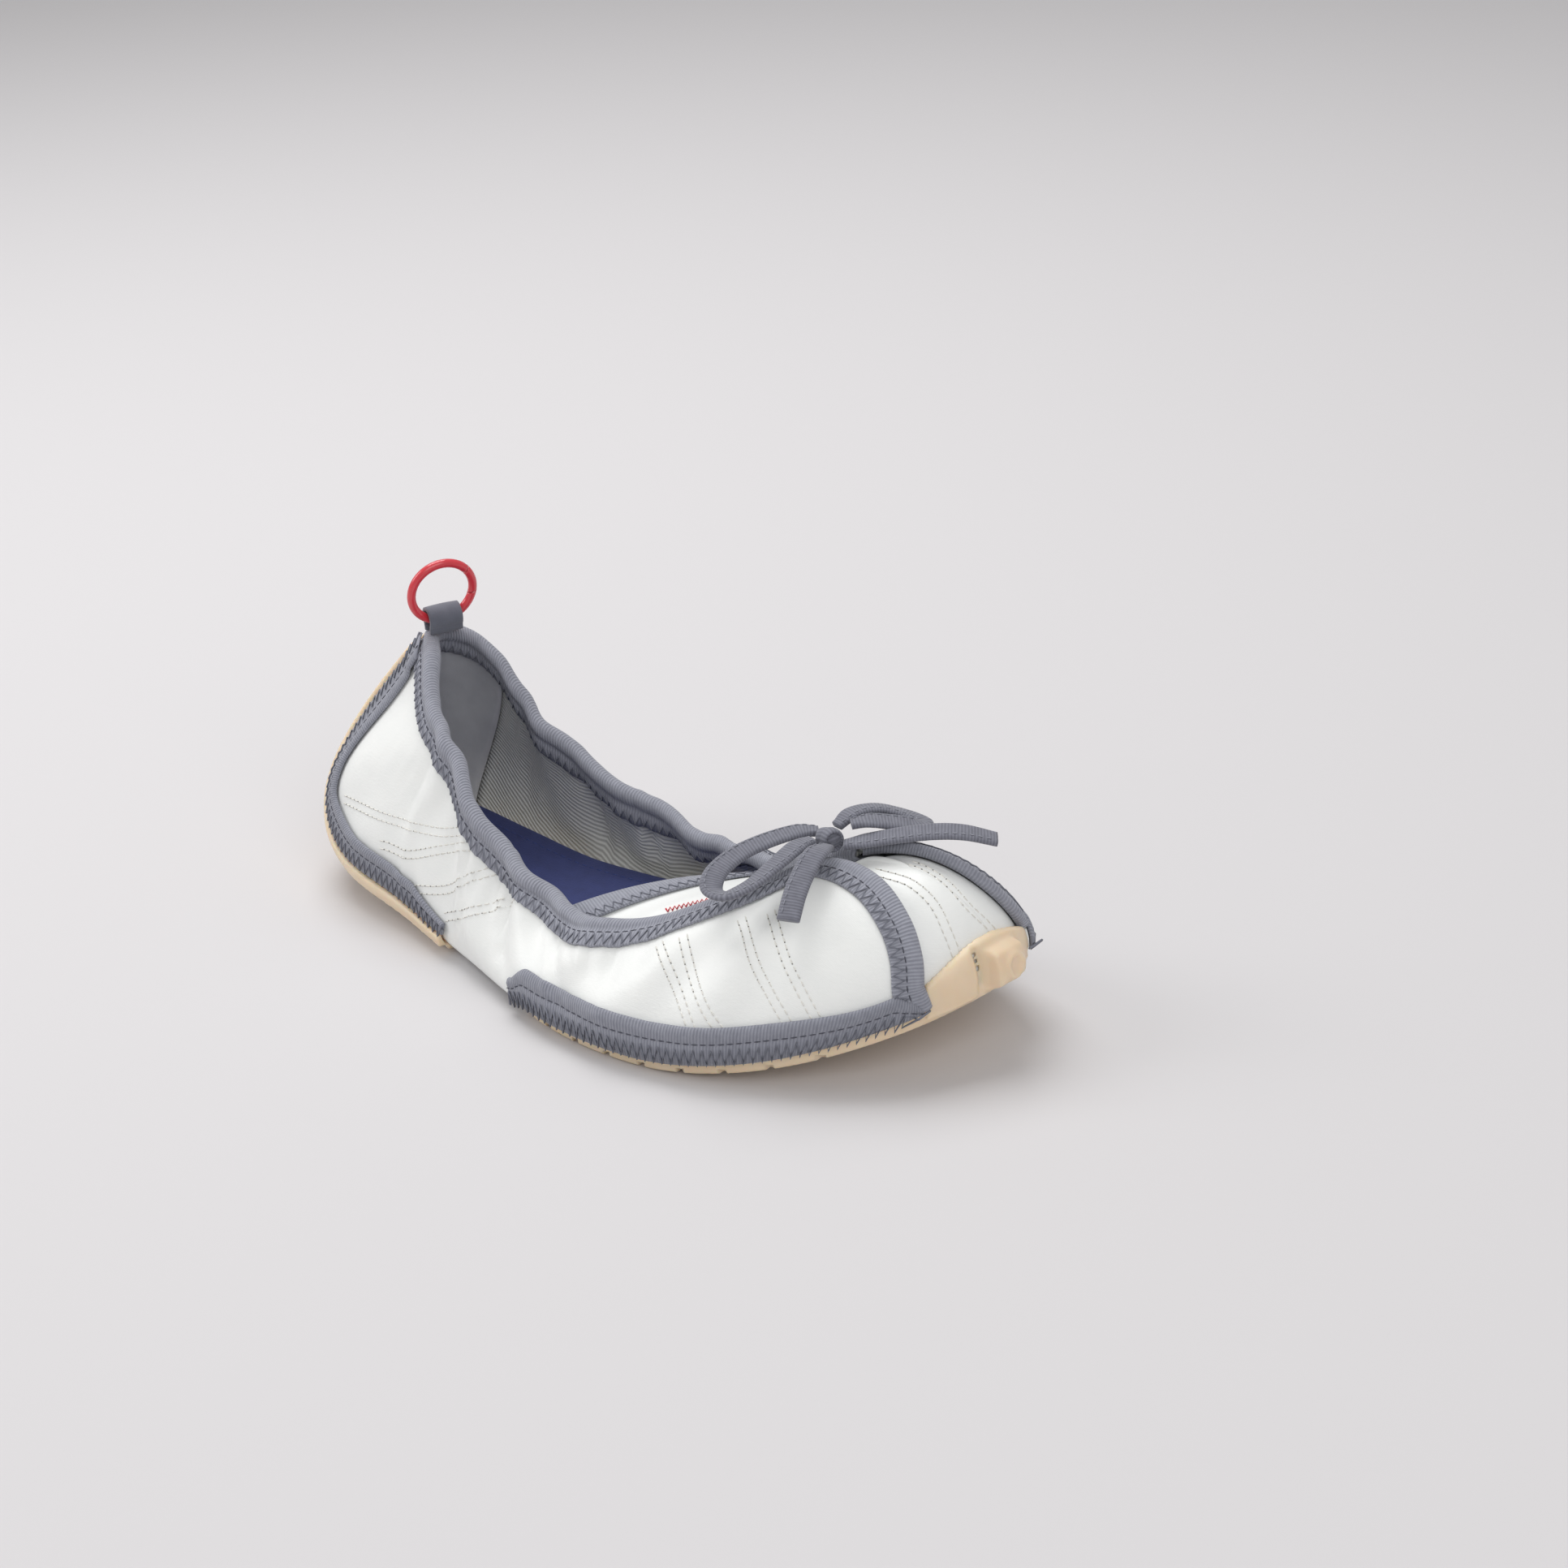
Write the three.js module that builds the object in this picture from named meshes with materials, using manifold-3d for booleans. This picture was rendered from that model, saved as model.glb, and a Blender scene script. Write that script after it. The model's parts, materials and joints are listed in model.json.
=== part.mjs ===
// A right-foot ballet slipper with a split gum-rubber sole, as an assembly of separate pieces.
// Millimetres, +Z up, +X from the heel to the toe, +Y towards the inner (medial) side of the foot.
// The origin is the centre of the floor rectangle that the slipper covers.
import * as THREE from 'three';
import { mergeVertices } from 'three/addons/utils/BufferGeometryUtils.js';
import Module from 'manifold-3d';

const wasm = await Module();
wasm.setup();

// ---------------------------------------------------------------- driving dimensions
const LENGTH = 250;          // foot outline, heel to toe
const WIDTH = 96;            // foot outline, across the ball
const HEEL_HEIGHT = 77;      // floor to the cloth edge at the heel
const GAP = 0.3;             // clearance between pieces that touch
const SOLE = 4.0;            // rubber under the foot, both pods
const TOE_SPRING = 22;       // lift of the sole at the toe
const TOE_SPRING_START = 165;    // distance from the heel at which the toe starts to lift
const HEEL_SPRING = 13;      // lift of the sole at the heel, which the elastic topline pulls up
const HEEL_SPRING_START = 90;    // the heel lifts behind this distance
const FORE_POD_START = 120;  // distance from the heel to the forefoot pod
const HEEL_POD_END = 82;     // distance from the heel to the end of the heel pod
const SOLE_OVERHANG = 2.0;   // rubber edge outside the foot outline
const RUBBER_WALL = 2.0;     // rubber where it climbs the cloth
const KNOB = 3.2;            // how far the toe knob stands out
const GROOVE = 2.4;          // width and depth of a tread notch
const GROOVE_PITCH = 12;     // distance between tread notches
const SATIN = 1.2;           // satin with its backing
const LINING = 0.7;          // lining and heel stiffener cloth
const VAMP = 1.0;            // vamp and heel lining layer
const TAPE = 0.8;            // ribbed binding tape
const FLANGE = 6.5;          // width of a binding's stitched flange
const ROLL = 3.2;            // height of the rolled edge above the cloth edge
const ELASTIC = 1.7;         // diameter of the elastic inside the rolled edge
const SOLE_BAND = 10;        // width of the binding along the sole edge
const BOARD = 1.5;           // insole boards
const FOAM = 3.0;            // footbed foam
const SOCK = 0.8;            // fabric over the foam
const BOARD_INSET = 5;       // boards lie this far inside the foot outline
const RING_RADIUS = 9.9;     // centre line of the ring
const RING_WIRE = 2.7;       // diameter of the ring's wire
const GATE_SWEEP = 48;       // degrees of the ring that the spring gate fills
const GATE_GAP = 1.4;        // gap that lets the gate's free end swing inwards
const GATE_START = 128;      // where the gate's pivot sits, in degrees from the pull loop
const LOOP_BORE = 5.6;       // inside of the pull loop
const LOOP_WALL = 1.0;       // tape of the pull loop
const LOOP_WIDTH = 10.5;     // length of the pull loop along its bore
const RING_LEAN = 12;        // degrees that the ring leans forward
const RING_DROP = 0.9;       // the ring's wire hangs this far below the middle of the bore
const LOOP_TURN = 25;        // degrees that the pull loop is turned about the vertical
const LACE = 4.0;            // thickness of the bow's tape
const TUBE_SIDES = 8;

// Stations around the foot, from the back of the heel along the outer side to the toe and back
// along the inner side. foot: outline on the sole. top: cloth edge, or the crown over the toes.
// swell and shoulder: how far the wall bulges outwards low down and high up. drop: share of the
// height over which the wall leans into its top, 0 where it closes over the toes.
const STATIONS = [
  { foot: [11, -3], top: [38, 8, 77], swell: 13, shoulder: 15, drop: 0.3 },
  { foot: [17, -18], top: [47, -2, 75], swell: 11, shoulder: 10, drop: 0.3 },
  { foot: [33, -27], top: [57, -13, 66], swell: 8, shoulder: 7, drop: 0.35 },
  { foot: [62, -32], top: [73, -22, 57], swell: 5, shoulder: 3, drop: 0.35 },
  { foot: [92, -40], top: [94, -31, 41], swell: 4, shoulder: 1, drop: 0.35 },
  { foot: [120, -49], top: [117, -33, 30], swell: 4, shoulder: 2, drop: 0.3 },
  { foot: [148, -54], top: [142, -38, 27], swell: 4, shoulder: 6, drop: 0.2 },
  { foot: [176, -52], top: [170, -27, 35], swell: 4, shoulder: 13, drop: 0.08 },
  { foot: [201, -43], top: [191, -8, 45], swell: 4, shoulder: 19, drop: 0 },
  { foot: [222, -29], top: [206, 2, 50], swell: 4, shoulder: 20, drop: 0 },
  { foot: [239, -10], top: [216, 5, 51], swell: 3, shoulder: 17, drop: 0 },
  { foot: [246, 12], top: [220, 6, 51], swell: 3, shoulder: 16, drop: 0 },
  { foot: [238, 31], top: [214, 7, 51], swell: 3, shoulder: 18, drop: 0 },
  { foot: [214, 39], top: [199, 7, 48], swell: 4, shoulder: 19, drop: 0 },
  { foot: [186, 39], top: [183, 8, 41], swell: 4, shoulder: 18, drop: 0.04 },
  { foot: [157, 34], top: [158, 15, 30], swell: 4, shoulder: 9, drop: 0.15 },
  { foot: [126, 27], top: [130, 20, 28], swell: 4, shoulder: 3, drop: 0.3 },
  { foot: [93, 23], top: [99, 21, 35], swell: 4, shoulder: 2, drop: 0.35 },
  { foot: [60, 23], top: [71, 18, 49], swell: 5, shoulder: 3, drop: 0.35 },
  { foot: [33, 21], top: [54, 17, 68], swell: 8, shoulder: 7, drop: 0.35 },
  { foot: [17, 12], top: [44, 15, 75], swell: 11, shoulder: 10, drop: 0.3 },
];
const TURNS = STATIONS.length;
const STATION_LENGTH = 250;  // the foot length, width and heel height that the stations are drawn at
const STATION_WIDTH = 96;
const STATION_HEIGHT = 77;

// Places along the outline, counted in stations from the heel (the inner side mirrors them).
const THROAT = 8.25;         // where the topline ends under the bow
const HEEL_SEAM = 0.03;      // half gap of the seam down the back of the heel
const HEEL_LINING_END = 2.0;
const COUNTER_END = 1.6;
const VAMP_FULL = 9.0;       // from here forwards the vamp reaches down to the sole
const TONGUE_END = [5.2, 6.4];   // outer and inner end of the tongue's rear edge
const TONGUE_DEPTH = 1.9 + 2 * TAPE;   // the tongue and its tape lie this far inside the cloth edge
const TONGUE_CROWN = 4;      // rise of the tongue's rear edge in the middle of the foot
const THROAT_CROWN = 1.5;    // the same where the tongue runs under the bow
const PUFF_START = 9.5;
const FRONT_END = { lateral: 9.85, medial: 9.35 };   // where each quarter's front edge meets the sole
const BUMPER_END = { lateral: 10.0, medial: 9.5 };

// ---------------------------------------------------------------- solids
function toSolid(geometry) {
  const bare = geometry.clone();
  bare.deleteAttribute('normal');
  bare.deleteAttribute('uv');
  const merged = mergeVertices(bare, 1e-4);
  return new wasm.Manifold(new wasm.Mesh({
    numProp: 3,
    vertProperties: new Float32Array(merged.attributes.position.array),
    triVerts: new Uint32Array(merged.index.array),
  }));
}

function toGeometry(solid) {
  const mesh = solid.getMesh();
  const geometry = new THREE.BufferGeometry();
  geometry.setAttribute('position', new THREE.BufferAttribute(new Float32Array(mesh.vertProperties), 3));
  geometry.setIndex(new THREE.BufferAttribute(new Uint32Array(mesh.triVerts), 1));
  return geometry;
}

function join(geometries) {
  return toGeometry(geometries.map(toSolid).reduce((all, next) => all.add(next)));
}

function cut(geometry, tools) {
  return toGeometry(tools.reduce((rest, tool) => rest.subtract(toSolid(tool)), toSolid(geometry)));
}

function signedVolume(points, triangles) {
  let volume = 0;
  for (const [a, b, c] of triangles) {
    volume += points[a].dot(new THREE.Vector3().crossVectors(points[b], points[c]));
  }
  return volume;
}

// One closed body from points and triangles: coincident points merged, faces turned outwards.
function closedBody(points, triangles) {
  const outward = signedVolume(points, triangles) > 0;
  const raw = new THREE.BufferGeometry();
  raw.setAttribute('position', new THREE.Float32BufferAttribute(points.flatMap((p) => [p.x, p.y, p.z]), 3));
  raw.setIndex(triangles.flatMap(([a, b, c]) => (outward ? [a, b, c] : [a, c, b])));
  const merged = mergeVertices(raw, 1e-4);
  const kept = [];
  for (let i = 0; i < merged.index.count; i += 3) {
    const [a, b, c] = [0, 1, 2].map((k) => merged.index.getX(i + k));
    if (a !== b && b !== c && c !== a) kept.push(a, b, c);
  }
  merged.setIndex(kept);
  return merged;
}

// A body swept through a row of sections. Each section is the same closed polygon of [m, d]
// points, and place puts a section's point in space. A folded end needs no cap. Every face is
// split along the same diagonal, from high m near the heel to low m beyond it, so that cloth
// layers stay parallel.
function sweep(sections, place, foldedEnd = false) {
  const size = sections[0].profile.length;
  const points = sections.flatMap((section) => section.profile.map(([m, d]) => place(section, m, d)));
  const triangles = [];
  for (let i = 0; i + 1 < sections.length; i += 1) {
    for (let j = 0; j < size; j += 1) {
      const a = i * size + j;
      const next = (j + 1) % size;
      const b = i * size + next;
      const rising = sections[i].profile[next][0] >= sections[i].profile[j][0];
      if (rising !== (sections[i].backwards === true)) {
        triangles.push([a, b, a + size], [b, b + size, a + size]);
      } else {
        triangles.push([a, b, b + size], [a, b + size, a + size]);
      }
    }
  }
  triangles.push(...ladder(size, 0).map(([a, b, c]) => [c, b, a]));
  if (!foldedEnd) triangles.push(...ladder(size, (sections.length - 1) * size));
  return closedBody(points, triangles);
}

// A cap as a ladder: the first half of the section's points on one rail, the rest on the other.
function ladder(size, start) {
  const rungs = [];
  for (let j = 0; j < size - 2 - j; j += 1) {
    const [a, b, c, d] = [j, j + 1, size - 2 - j, size - 1 - j].map((k) => start + k);
    if (b === c) rungs.push([a, b, d]);
    else rungs.push([a, b, c], [a, c, d]);
  }
  return rungs;
}

// ---------------------------------------------------------------- the form of the foot
const LENGTHWISE = LENGTH / STATION_LENGTH;

// How far the underside of the sole is above the floor at a distance from the heel.
const spring = (x) => {
  const toe = TOE_SPRING_START * LENGTHWISE;
  const heel = HEEL_SPRING_START * LENGTHWISE;
  const ahead = Math.max(0, (x - toe) / (LENGTH - toe));
  const behind = Math.max(0, 1 - x / heel);
  return TOE_SPRING * ahead ** 2 + HEEL_SPRING * behind ** 1.5;
};

// A point of the drawn stations, brought to the slipper's own length, width and heel height.
const scaledPoint = ([x, y, z]) => new THREE.Vector3(
  x * LENGTHWISE,
  (y * WIDTH) / STATION_WIDTH,
  (z * HEEL_HEIGHT) / STATION_HEIGHT,
);

const scaled = (station) => ({
  foot: scaledPoint([...station.foot, 0]),
  top: scaledPoint(station.top),
  form: new THREE.Vector3(station.swell, station.shoulder, station.drop),
});

const stationCurve = (key) => {
  return new THREE.CatmullRomCurve3(STATIONS.map((s) => scaled(s)[key]), true, 'catmullrom', 0.5);
};
const footCurve = stationCurve('foot');
const topCurve = stationCurve('top');
const formCurve = stationCurve('form');
const share = (t) => (((t % TURNS) + TURNS) % TURNS) / TURNS;

function footPoint(t) {
  const p = footCurve.getPoint(share(t));
  return p.setZ(SOLE + GAP + spring(p.x));
}

function footTangent(t) {
  const ahead = footCurve.getPoint(share(t + 0.05));
  return ahead.sub(footCurve.getPoint(share(t - 0.05))).setZ(0).normalize();
}

const ribs = new Map();

// The wall of the foot at place t: a curve from the sole up to the cloth edge or the crown.
function rib(t) {
  const key = Math.round(share(t) * 1e6);
  if (!ribs.has(key)) {
    const foot = footPoint(t);
    const top = topCurve.getPoint(share(t));
    const form = formCurve.getPoint(share(t));
    const tangent = footTangent(t);
    const out = new THREE.Vector3(tangent.y, -tangent.x, 0);
    const height = top.z - foot.z;
    const low = foot.clone().addScaledVector(out, form.x).setZ(foot.z + 0.3 * height);
    const high = top.clone().addScaledVector(out, form.y).setZ(top.z - form.z * height);
    const curve = new THREE.CubicBezierCurve3(foot, low, high, top);
    curve.arcLengthDivisions = 60;
    ribs.set(key, { curve, tangent, length: curve.getLength() });
  }
  return ribs.get(key);
}

const ribLength = (t) => rib(t).length;

// A point s millimetres up the wall at place t, d millimetres outside it.
function onWall(t, s, d) {
  const { curve, tangent, length } = rib(t);
  const at = Math.min(Math.max(s / length, 0), 1);
  const along = curve.getTangentAt(at);
  const beyond = s - at * length;
  const normal = new THREE.Vector3().crossVectors(tangent, along).normalize();
  return curve.getPointAt(at).addScaledVector(along, beyond).addScaledVector(normal, d);
}

// Cloth is trimmed level with the top of the sole.
const trimmed = (point) => point.setZ(Math.max(point.z, SOLE + GAP + spring(point.x)));

const mirrored = (side, t) => (side === 'medial' ? TURNS - t : t);

// ---------------------------------------------------------------- quarters: columns from sole to edge
const range = (count) => Array.from({ length: count }, (_, i) => i);
const lerp = THREE.MathUtils.lerp;

// The front edge leaves the topline at the throat and runs down to the sole: share of the way
// along the sole, share of the wall's height.
const FRONT_EDGE = new THREE.CatmullRomCurve3([
  new THREE.Vector3(0, 1, 0), new THREE.Vector3(0.4, 0.9, 0), new THREE.Vector3(0.74, 0.76, 0),
  new THREE.Vector3(0.93, 0.58, 0), new THREE.Vector3(1, 0.38, 0), new THREE.Vector3(1, 0.18, 0),
], false, 'catmullrom', 0.5);

function frontColumn(side, q) {
  const edge = FRONT_EDGE.getPoint(q);
  const end = FRONT_END[side];
  const te = lerp(THROAT, end, edge.x);
  const tf = lerp(THROAT, end + 0.04, q);
  return column(side, tf, te, edge.y * ribLength(mirrored(side, te)), q > 0);
}

// A column runs from the sole at tf to the cloth edge at (te, se).
function column(side, tf, te, se, front) {
  const foot = mirrored(side, tf);
  const edge = mirrored(side, te);
  const steps = range(13).map((i) => onWall(lerp(foot, edge, i / 12), (se * i) / 12, 0));
  const length = steps.slice(1).reduce((sum, p, i) => sum + p.distanceTo(steps[i]), 0);
  return { tf, foot, edge, se, length, front };
}

const REAR_STEPS = 30;
const FRONT_STEPS = 13;

function quarterColumns(side) {
  const rear = range(REAR_STEPS).map((i) => Math.max(HEEL_SEAM, (THROAT * i) / REAR_STEPS));
  return [
    ...rear.map((t) => column(side, t, t, ribLength(mirrored(side, t)), false)),
    ...range(FRONT_STEPS + 1).map((i) => frontColumn(side, i / FRONT_STEPS)),
  ];
}

const onColumn = (col, m, d) => {
  const k = m / col.length;
  return trimmed(onWall(lerp(col.foot, col.edge, k), col.se * k, d));
};

// Heights of the sole band and of the topline flange on a column, shrunk where the wall is low.
const bandTop = (col) => Math.min(SOLE_BAND, 0.42 * col.length);
const flangeLow = (col) => col.length - Math.min(FLANGE, 0.5 * col.length);

function quarterRows(col) {
  const low = bandTop(col);
  const high = flangeLow(col);
  const middle = [1, 2, 3, 4].map((i) => lerp(low, high, i / 5));
  return [0, low / 2, low, ...middle, high, (high + col.length) / 2, col.length];
}

const slab = (rows, inside, outside) => [
  ...rows.map((m) => [m, outside]),
  ...[...rows].reverse().map((m) => [m, inside]),
];

const sectioned = (columns, profile) => columns.map((col) => ({ ...col, profile: profile(col) }));

// Layers, as distances outside the form: vamp and heel lining, then linings, then the quarters.
const LAYER_INNER = [-VAMP + 0.4, 0.4];
const LAYER_LINING = [LAYER_INNER[1] + GAP, LAYER_INNER[1] + GAP + LINING];
const LAYER_SATIN = [LAYER_LINING[1] + GAP, LAYER_LINING[1] + GAP + SATIN];
const LAYER_TAPE = [LAYER_SATIN[1] + GAP, LAYER_SATIN[1] + GAP + TAPE];

const columns = { lateral: quarterColumns('lateral'), medial: quarterColumns('medial') };

const quarter = (side) => sweep(
  sectioned(columns[side], (col) => slab(quarterRows(col), ...LAYER_SATIN)),
  onColumn,
);

function quarterLining(side) {
  const kept = columns[side].filter((col) => !col.front && col.tf > HEEL_LINING_END - 0.2);
  return sweep(sectioned(kept, (col) => slab(quarterRows(col), ...LAYER_LINING)), onColumn);
}

// Columns right round the heel, from the inner side to the outer side.
function heelColumns(end) {
  const within = (side) => columns[side].filter((col) => !col.front && col.tf <= end);
  const inner = within('medial').reverse().map((col) => ({ ...col, backwards: true }));
  return [...inner, ...within('lateral')];
}

const heelCounter = () => sweep(
  sectioned(heelColumns(COUNTER_END), (col) => slab(quarterRows(col).slice(0, -2), ...LAYER_LINING)),
  onColumn,
);

const heelLining = () => sweep(
  sectioned(heelColumns(HEEL_LINING_END), (col) => {
    return slab(quarterRows(col), LAYER_INNER[1] - LINING, LAYER_INNER[1]);
  }),
  onColumn,
);

// ---------------------------------------------------------------- bindings
const FLANGE_INSIDE = LAYER_INNER[1] - LINING - GAP;   // outer face of the flange inside the shoe

// A U over the cloth edge: stitched flange outside and inside, rolled edge above.
function toplineProfile(col) {
  const e = col.length;
  const low = flangeLow(col);
  const mid = (low + e) / 2;
  const [tin, tout] = LAYER_TAPE;
  const fin = FLANGE_INSIDE;
  return [
    [low, tout], [mid, tout], [e + 0.4, tout], [e + ROLL * 0.75, tout - 0.6], [e + ROLL, tout / 2 - 0.4],
    [e + ROLL * 0.8, fin + 0.1], [e + 0.4, fin - TAPE], [mid, fin - TAPE], [low, fin - TAPE],
    [low, fin], [mid, fin], [e + GAP, fin], [e + ROLL * 0.6, fin + 0.6], [e + ROLL - TAPE, tin / 2],
    [e + ROLL * 0.55, tin - 0.5], [e + GAP, tin], [mid, tin], [low, tin],
  ];
}

const toplineBinding = () => sweep(sectioned(heelColumns(THROAT), toplineProfile), onColumn);

function toplineElastic() {
  const centre = [GAP + ELASTIC / 2 + 0.2, (LAYER_SATIN[1] + FLANGE_INSIDE) / 2];
  const profile = (col) => range(TUBE_SIDES).map((i) => {
    const angle = (2 * Math.PI * i) / TUBE_SIDES;
    return [
      col.length + centre[0] + (ELASTIC / 2) * Math.cos(angle),
      centre[1] + (ELASTIC / 2) * Math.sin(angle),
    ];
  });
  return sweep(sectioned(heelColumns(THROAT - 0.3), profile), onColumn);
}

// Along the front edge the tape lies on the quarter and rolls down to the vamp.
function frontProfile(col) {
  const e = col.length;
  const low = flangeLow(col);
  const mid = (low + e) / 2;
  const [tin, tout] = LAYER_TAPE;
  const rest = LAYER_INNER[1] + 2 * GAP;
  return [
    [low, tout], [mid, tout], [e + 0.5, tout], [e + ROLL * 0.75, tout - 0.8], [e + ROLL * 0.9, rest],
    [e + GAP, rest], [e + GAP, tin], [mid, tin], [low, tin],
  ];
}

function frontBinding(side) {
  const kept = columns[side].filter((col) => col.front).slice(0, -1);
  return sweep(sectioned(kept, frontProfile), onColumn);
}

function soleBinding(side) {
  const start = FORE_POD_START * LENGTHWISE;
  const kept = columns[side].filter((col) => footPoint(col.foot).x > start);
  const rows = (col) => [0, bandTop(col) / 2, Math.min(bandTop(col), flangeLow(col) - GAP)];
  return sweep(sectioned(kept, (col) => slab(rows(col), ...LAYER_TAPE)), onColumn);
}

// ---------------------------------------------------------------- vamp, tongue, toe
const SIDE_ROWS = 7;
const BRIDGE_ROWS = 5;

// A cross section over the foot: up the outer wall, across the top, down the inner wall.
// low and high are distances up the two walls, inset how far the section lies inside the form.
function crossSection(tl, tm, low, high, inset, crown) {
  return { tl, tm, low, high, inset, crown };
}

function sectionPoint({ tl, tm, low, high, inset, crown }, w, d) {
  const wall = (t, k) => onWall(t, lerp(low, ribLength(t) - high, k), d - inset);
  if (w <= 1) return wall(tl, w);
  if (w >= 2) return wall(tm, 3 - w);
  const across = wall(tl, 1).lerp(wall(tm, 1), w - 1);
  return across.setZ(across.z + crown * 4 * (w - 1) * (2 - w));
}

// Over the toes a layer is offset along the walls; inside the opening, along the tongue itself.
function crossPoint(section, w, d) {
  const onForm = trimmed(sectionPoint(section, w, d));
  if (section.inset === 0) return onForm;
  const ahead = sectionPoint(section, Math.min(w + 0.12, 3), 0);
  const along = ahead.sub(sectionPoint(section, Math.max(w - 0.12, 0), 0));
  const normal = new THREE.Vector3(1, 0, 0).cross(along).normalize();
  const onTongue = sectionPoint(section, w, 0).addScaledVector(normal, d);
  return onTongue.lerp(onForm, 1 - section.inset / TONGUE_DEPTH);
}

const crossRows = [
  ...range(SIDE_ROWS).map((i) => i / (SIDE_ROWS - 1)),
  ...range(BRIDGE_ROWS).slice(1, -1).map((i) => 1 + i / (BRIDGE_ROWS - 1)),
  ...range(SIDE_ROWS).map((i) => 2 + i / (SIDE_ROWS - 1)),
];

// Front sections run from the throat to the toe, where the two walls meet.
const TOE = 11;
function frontSections(start, steps, low) {
  return range(steps + 1).map((i) => {
    const k = i / steps;
    const tl = lerp(start, TOE, k);
    const tm = TURNS - lerp(start, TURNS - TOE, k);
    const settled = THREE.MathUtils.smoothstep(tl, THROAT, VAMP_FULL);
    const reach = lerp(ribLength(tl) - 16, low, settled);
    const inset = TONGUE_DEPTH * (1 - settled);
    return crossSection(tl, tm, Math.max(low, reach), 0, inset, THROAT_CROWN * (1 - k));
  });
}

function tongueSections(from, to, steps) {
  return range(steps + 1).map((i) => {
    const k = lerp(from, to, i / steps);
    const tl = lerp(TONGUE_END[0], THROAT, k);
    const tm = TURNS - lerp(TONGUE_END[1], THROAT, k);
    const low = Math.min(ribLength(tl), ribLength(tm)) - 16;
    return crossSection(tl, tm, low, lerp(2, 0, k), TONGUE_DEPTH, lerp(TONGUE_CROWN, THROAT_CROWN, k));
  });
}

const crossBody = (sections, inside, outside) => sweep(
  sections.map((section) => ({ ...section, profile: slab(crossRows, inside, outside) })),
  crossPoint,
  sections[sections.length - 1].tl === TOE,
);

const TONGUE_STEPS = 8;
const vampSections = () => [
  ...tongueSections(0, 1, TONGUE_STEPS).slice(0, -1),
  ...frontSections(THROAT, 14, 0),
];
const PUFF_LAYER = [LAYER_INNER[0] - GAP - 0.9, LAYER_INNER[0] - GAP];
const VAMP_LINING_LAYER = [PUFF_LAYER[0] - GAP - LINING, PUFF_LAYER[0] - GAP];

const vamp = () => crossBody(vampSections(), ...LAYER_INNER);
const vampLining = () => crossBody(vampSections(), ...VAMP_LINING_LAYER);
const toePuff = () => crossBody(vampSections().filter((s) => s.tl > PUFF_START), ...PUFF_LAYER);
const tongueBinding = () => crossBody(
  tongueSections(0, 1, TONGUE_STEPS).slice(0, 3),
  LAYER_INNER[1] + GAP,
  LAYER_INNER[1] + GAP + TAPE,
);

// ---------------------------------------------------------------- soles and boards
// A flat piece between two distances from the heel, inside the outline by inset (negative: outside).
function plate(from, to, inset, low, high, steps) {
  const edge = plateEdge(from * LENGTHWISE, to * LENGTHWISE, inset, steps);
  const sections = edge.map(({ x, right, left }) => {
    return { x, profile: [[right, high], [left, high], [left, low], [right, low]] };
  });
  return sweep(sections, (section, y, z) => new THREE.Vector3(section.x, y, z + spring(section.x)));
}

// The two sides of the outline at each distance from the heel.
function plateEdge(from, to, inset, steps) {
  const outline = range(840).map((i) => {
    const t = (TURNS * i) / 840;
    const tangent = footTangent(t);
    return footPoint(t).add(new THREE.Vector3(-tangent.y, tangent.x, 0).multiplyScalar(inset));
  });
  const xs = outline.map((p) => p.x);
  const first = Math.max(from, Math.min(...xs) + 0.4);
  const last = Math.min(to, Math.max(...xs) - 0.4);
  return range(steps + 1).map((i) => {
    const eased = 0.5 - 0.5 * Math.cos((Math.PI * i) / steps);
    const x = lerp(first, last, lerp(i / steps, eased, 0.8));
    const ys = crossings(outline, x);
    return { x, right: Math.min(...ys), left: Math.max(...ys) };
  });
}

function crossings(outline, x) {
  const found = [];
  outline.forEach((a, i) => {
    const b = outline[(i + 1) % outline.length];
    if ((a.x - x) * (b.x - x) <= 0 && a.x !== b.x) found.push(lerp(a.y, b.y, (x - a.x) / (b.x - a.x)));
  });
  return found;
}

// Tread notches along one side of a pod.
function notches(side, from, to) {
  const count = Math.floor(((to - from) * LENGTHWISE) / GROOVE_PITCH);
  const sign = side === 'lateral' ? -1 : 1;
  return range(count).map((i) => {
    const x = from * LENGTHWISE + GROOVE_PITCH * (i + 0.7);
    const edge = plateEdge(x, x + 1, -SOLE_OVERHANG, 1)[0];
    const y = sign < 0 ? edge.right : edge.left;
    const box = new THREE.BoxGeometry(GROOVE, 2 * GROOVE, GROOVE);
    box.translate(x, y, GROOVE / 2 - 0.6 + spring(x));
    return box;
  });
}

// Rubber that climbs the wall: a strip over a run of places t, from below the sole edge to a height.
function climbingRubber(places, heightAt, insideAt, bulgeAt) {
  const sections = places.map((t) => {
    const height = heightAt(t);
    const wall = quarterRows(column('lateral', t, t, ribLength(t), false));
    const rows = [-3.2, -GAP, ...wall.map((m, i) => Math.min(m, height - 0.4 * (wall.length - 1 - i)))];
    const inside = rows.map((m) => insideAt(t, m));
    return {
      t,
      profile: [
        ...rows.map((m, i) => [m, inside[i] + RUBBER_WALL + bulgeAt(t, m / height)]),
        ...[...rows.keys()].reverse().map((i) => [rows[i], inside[i]]),
      ],
    };
  });
  const lowest = SOLE * 0.2;
  return sweep(sections, (section, m, d) => {
    const point = onWall(section.t, m, d);
    return point.setZ(Math.max(point.z, lowest + spring(point.x)));
  });
}

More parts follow.
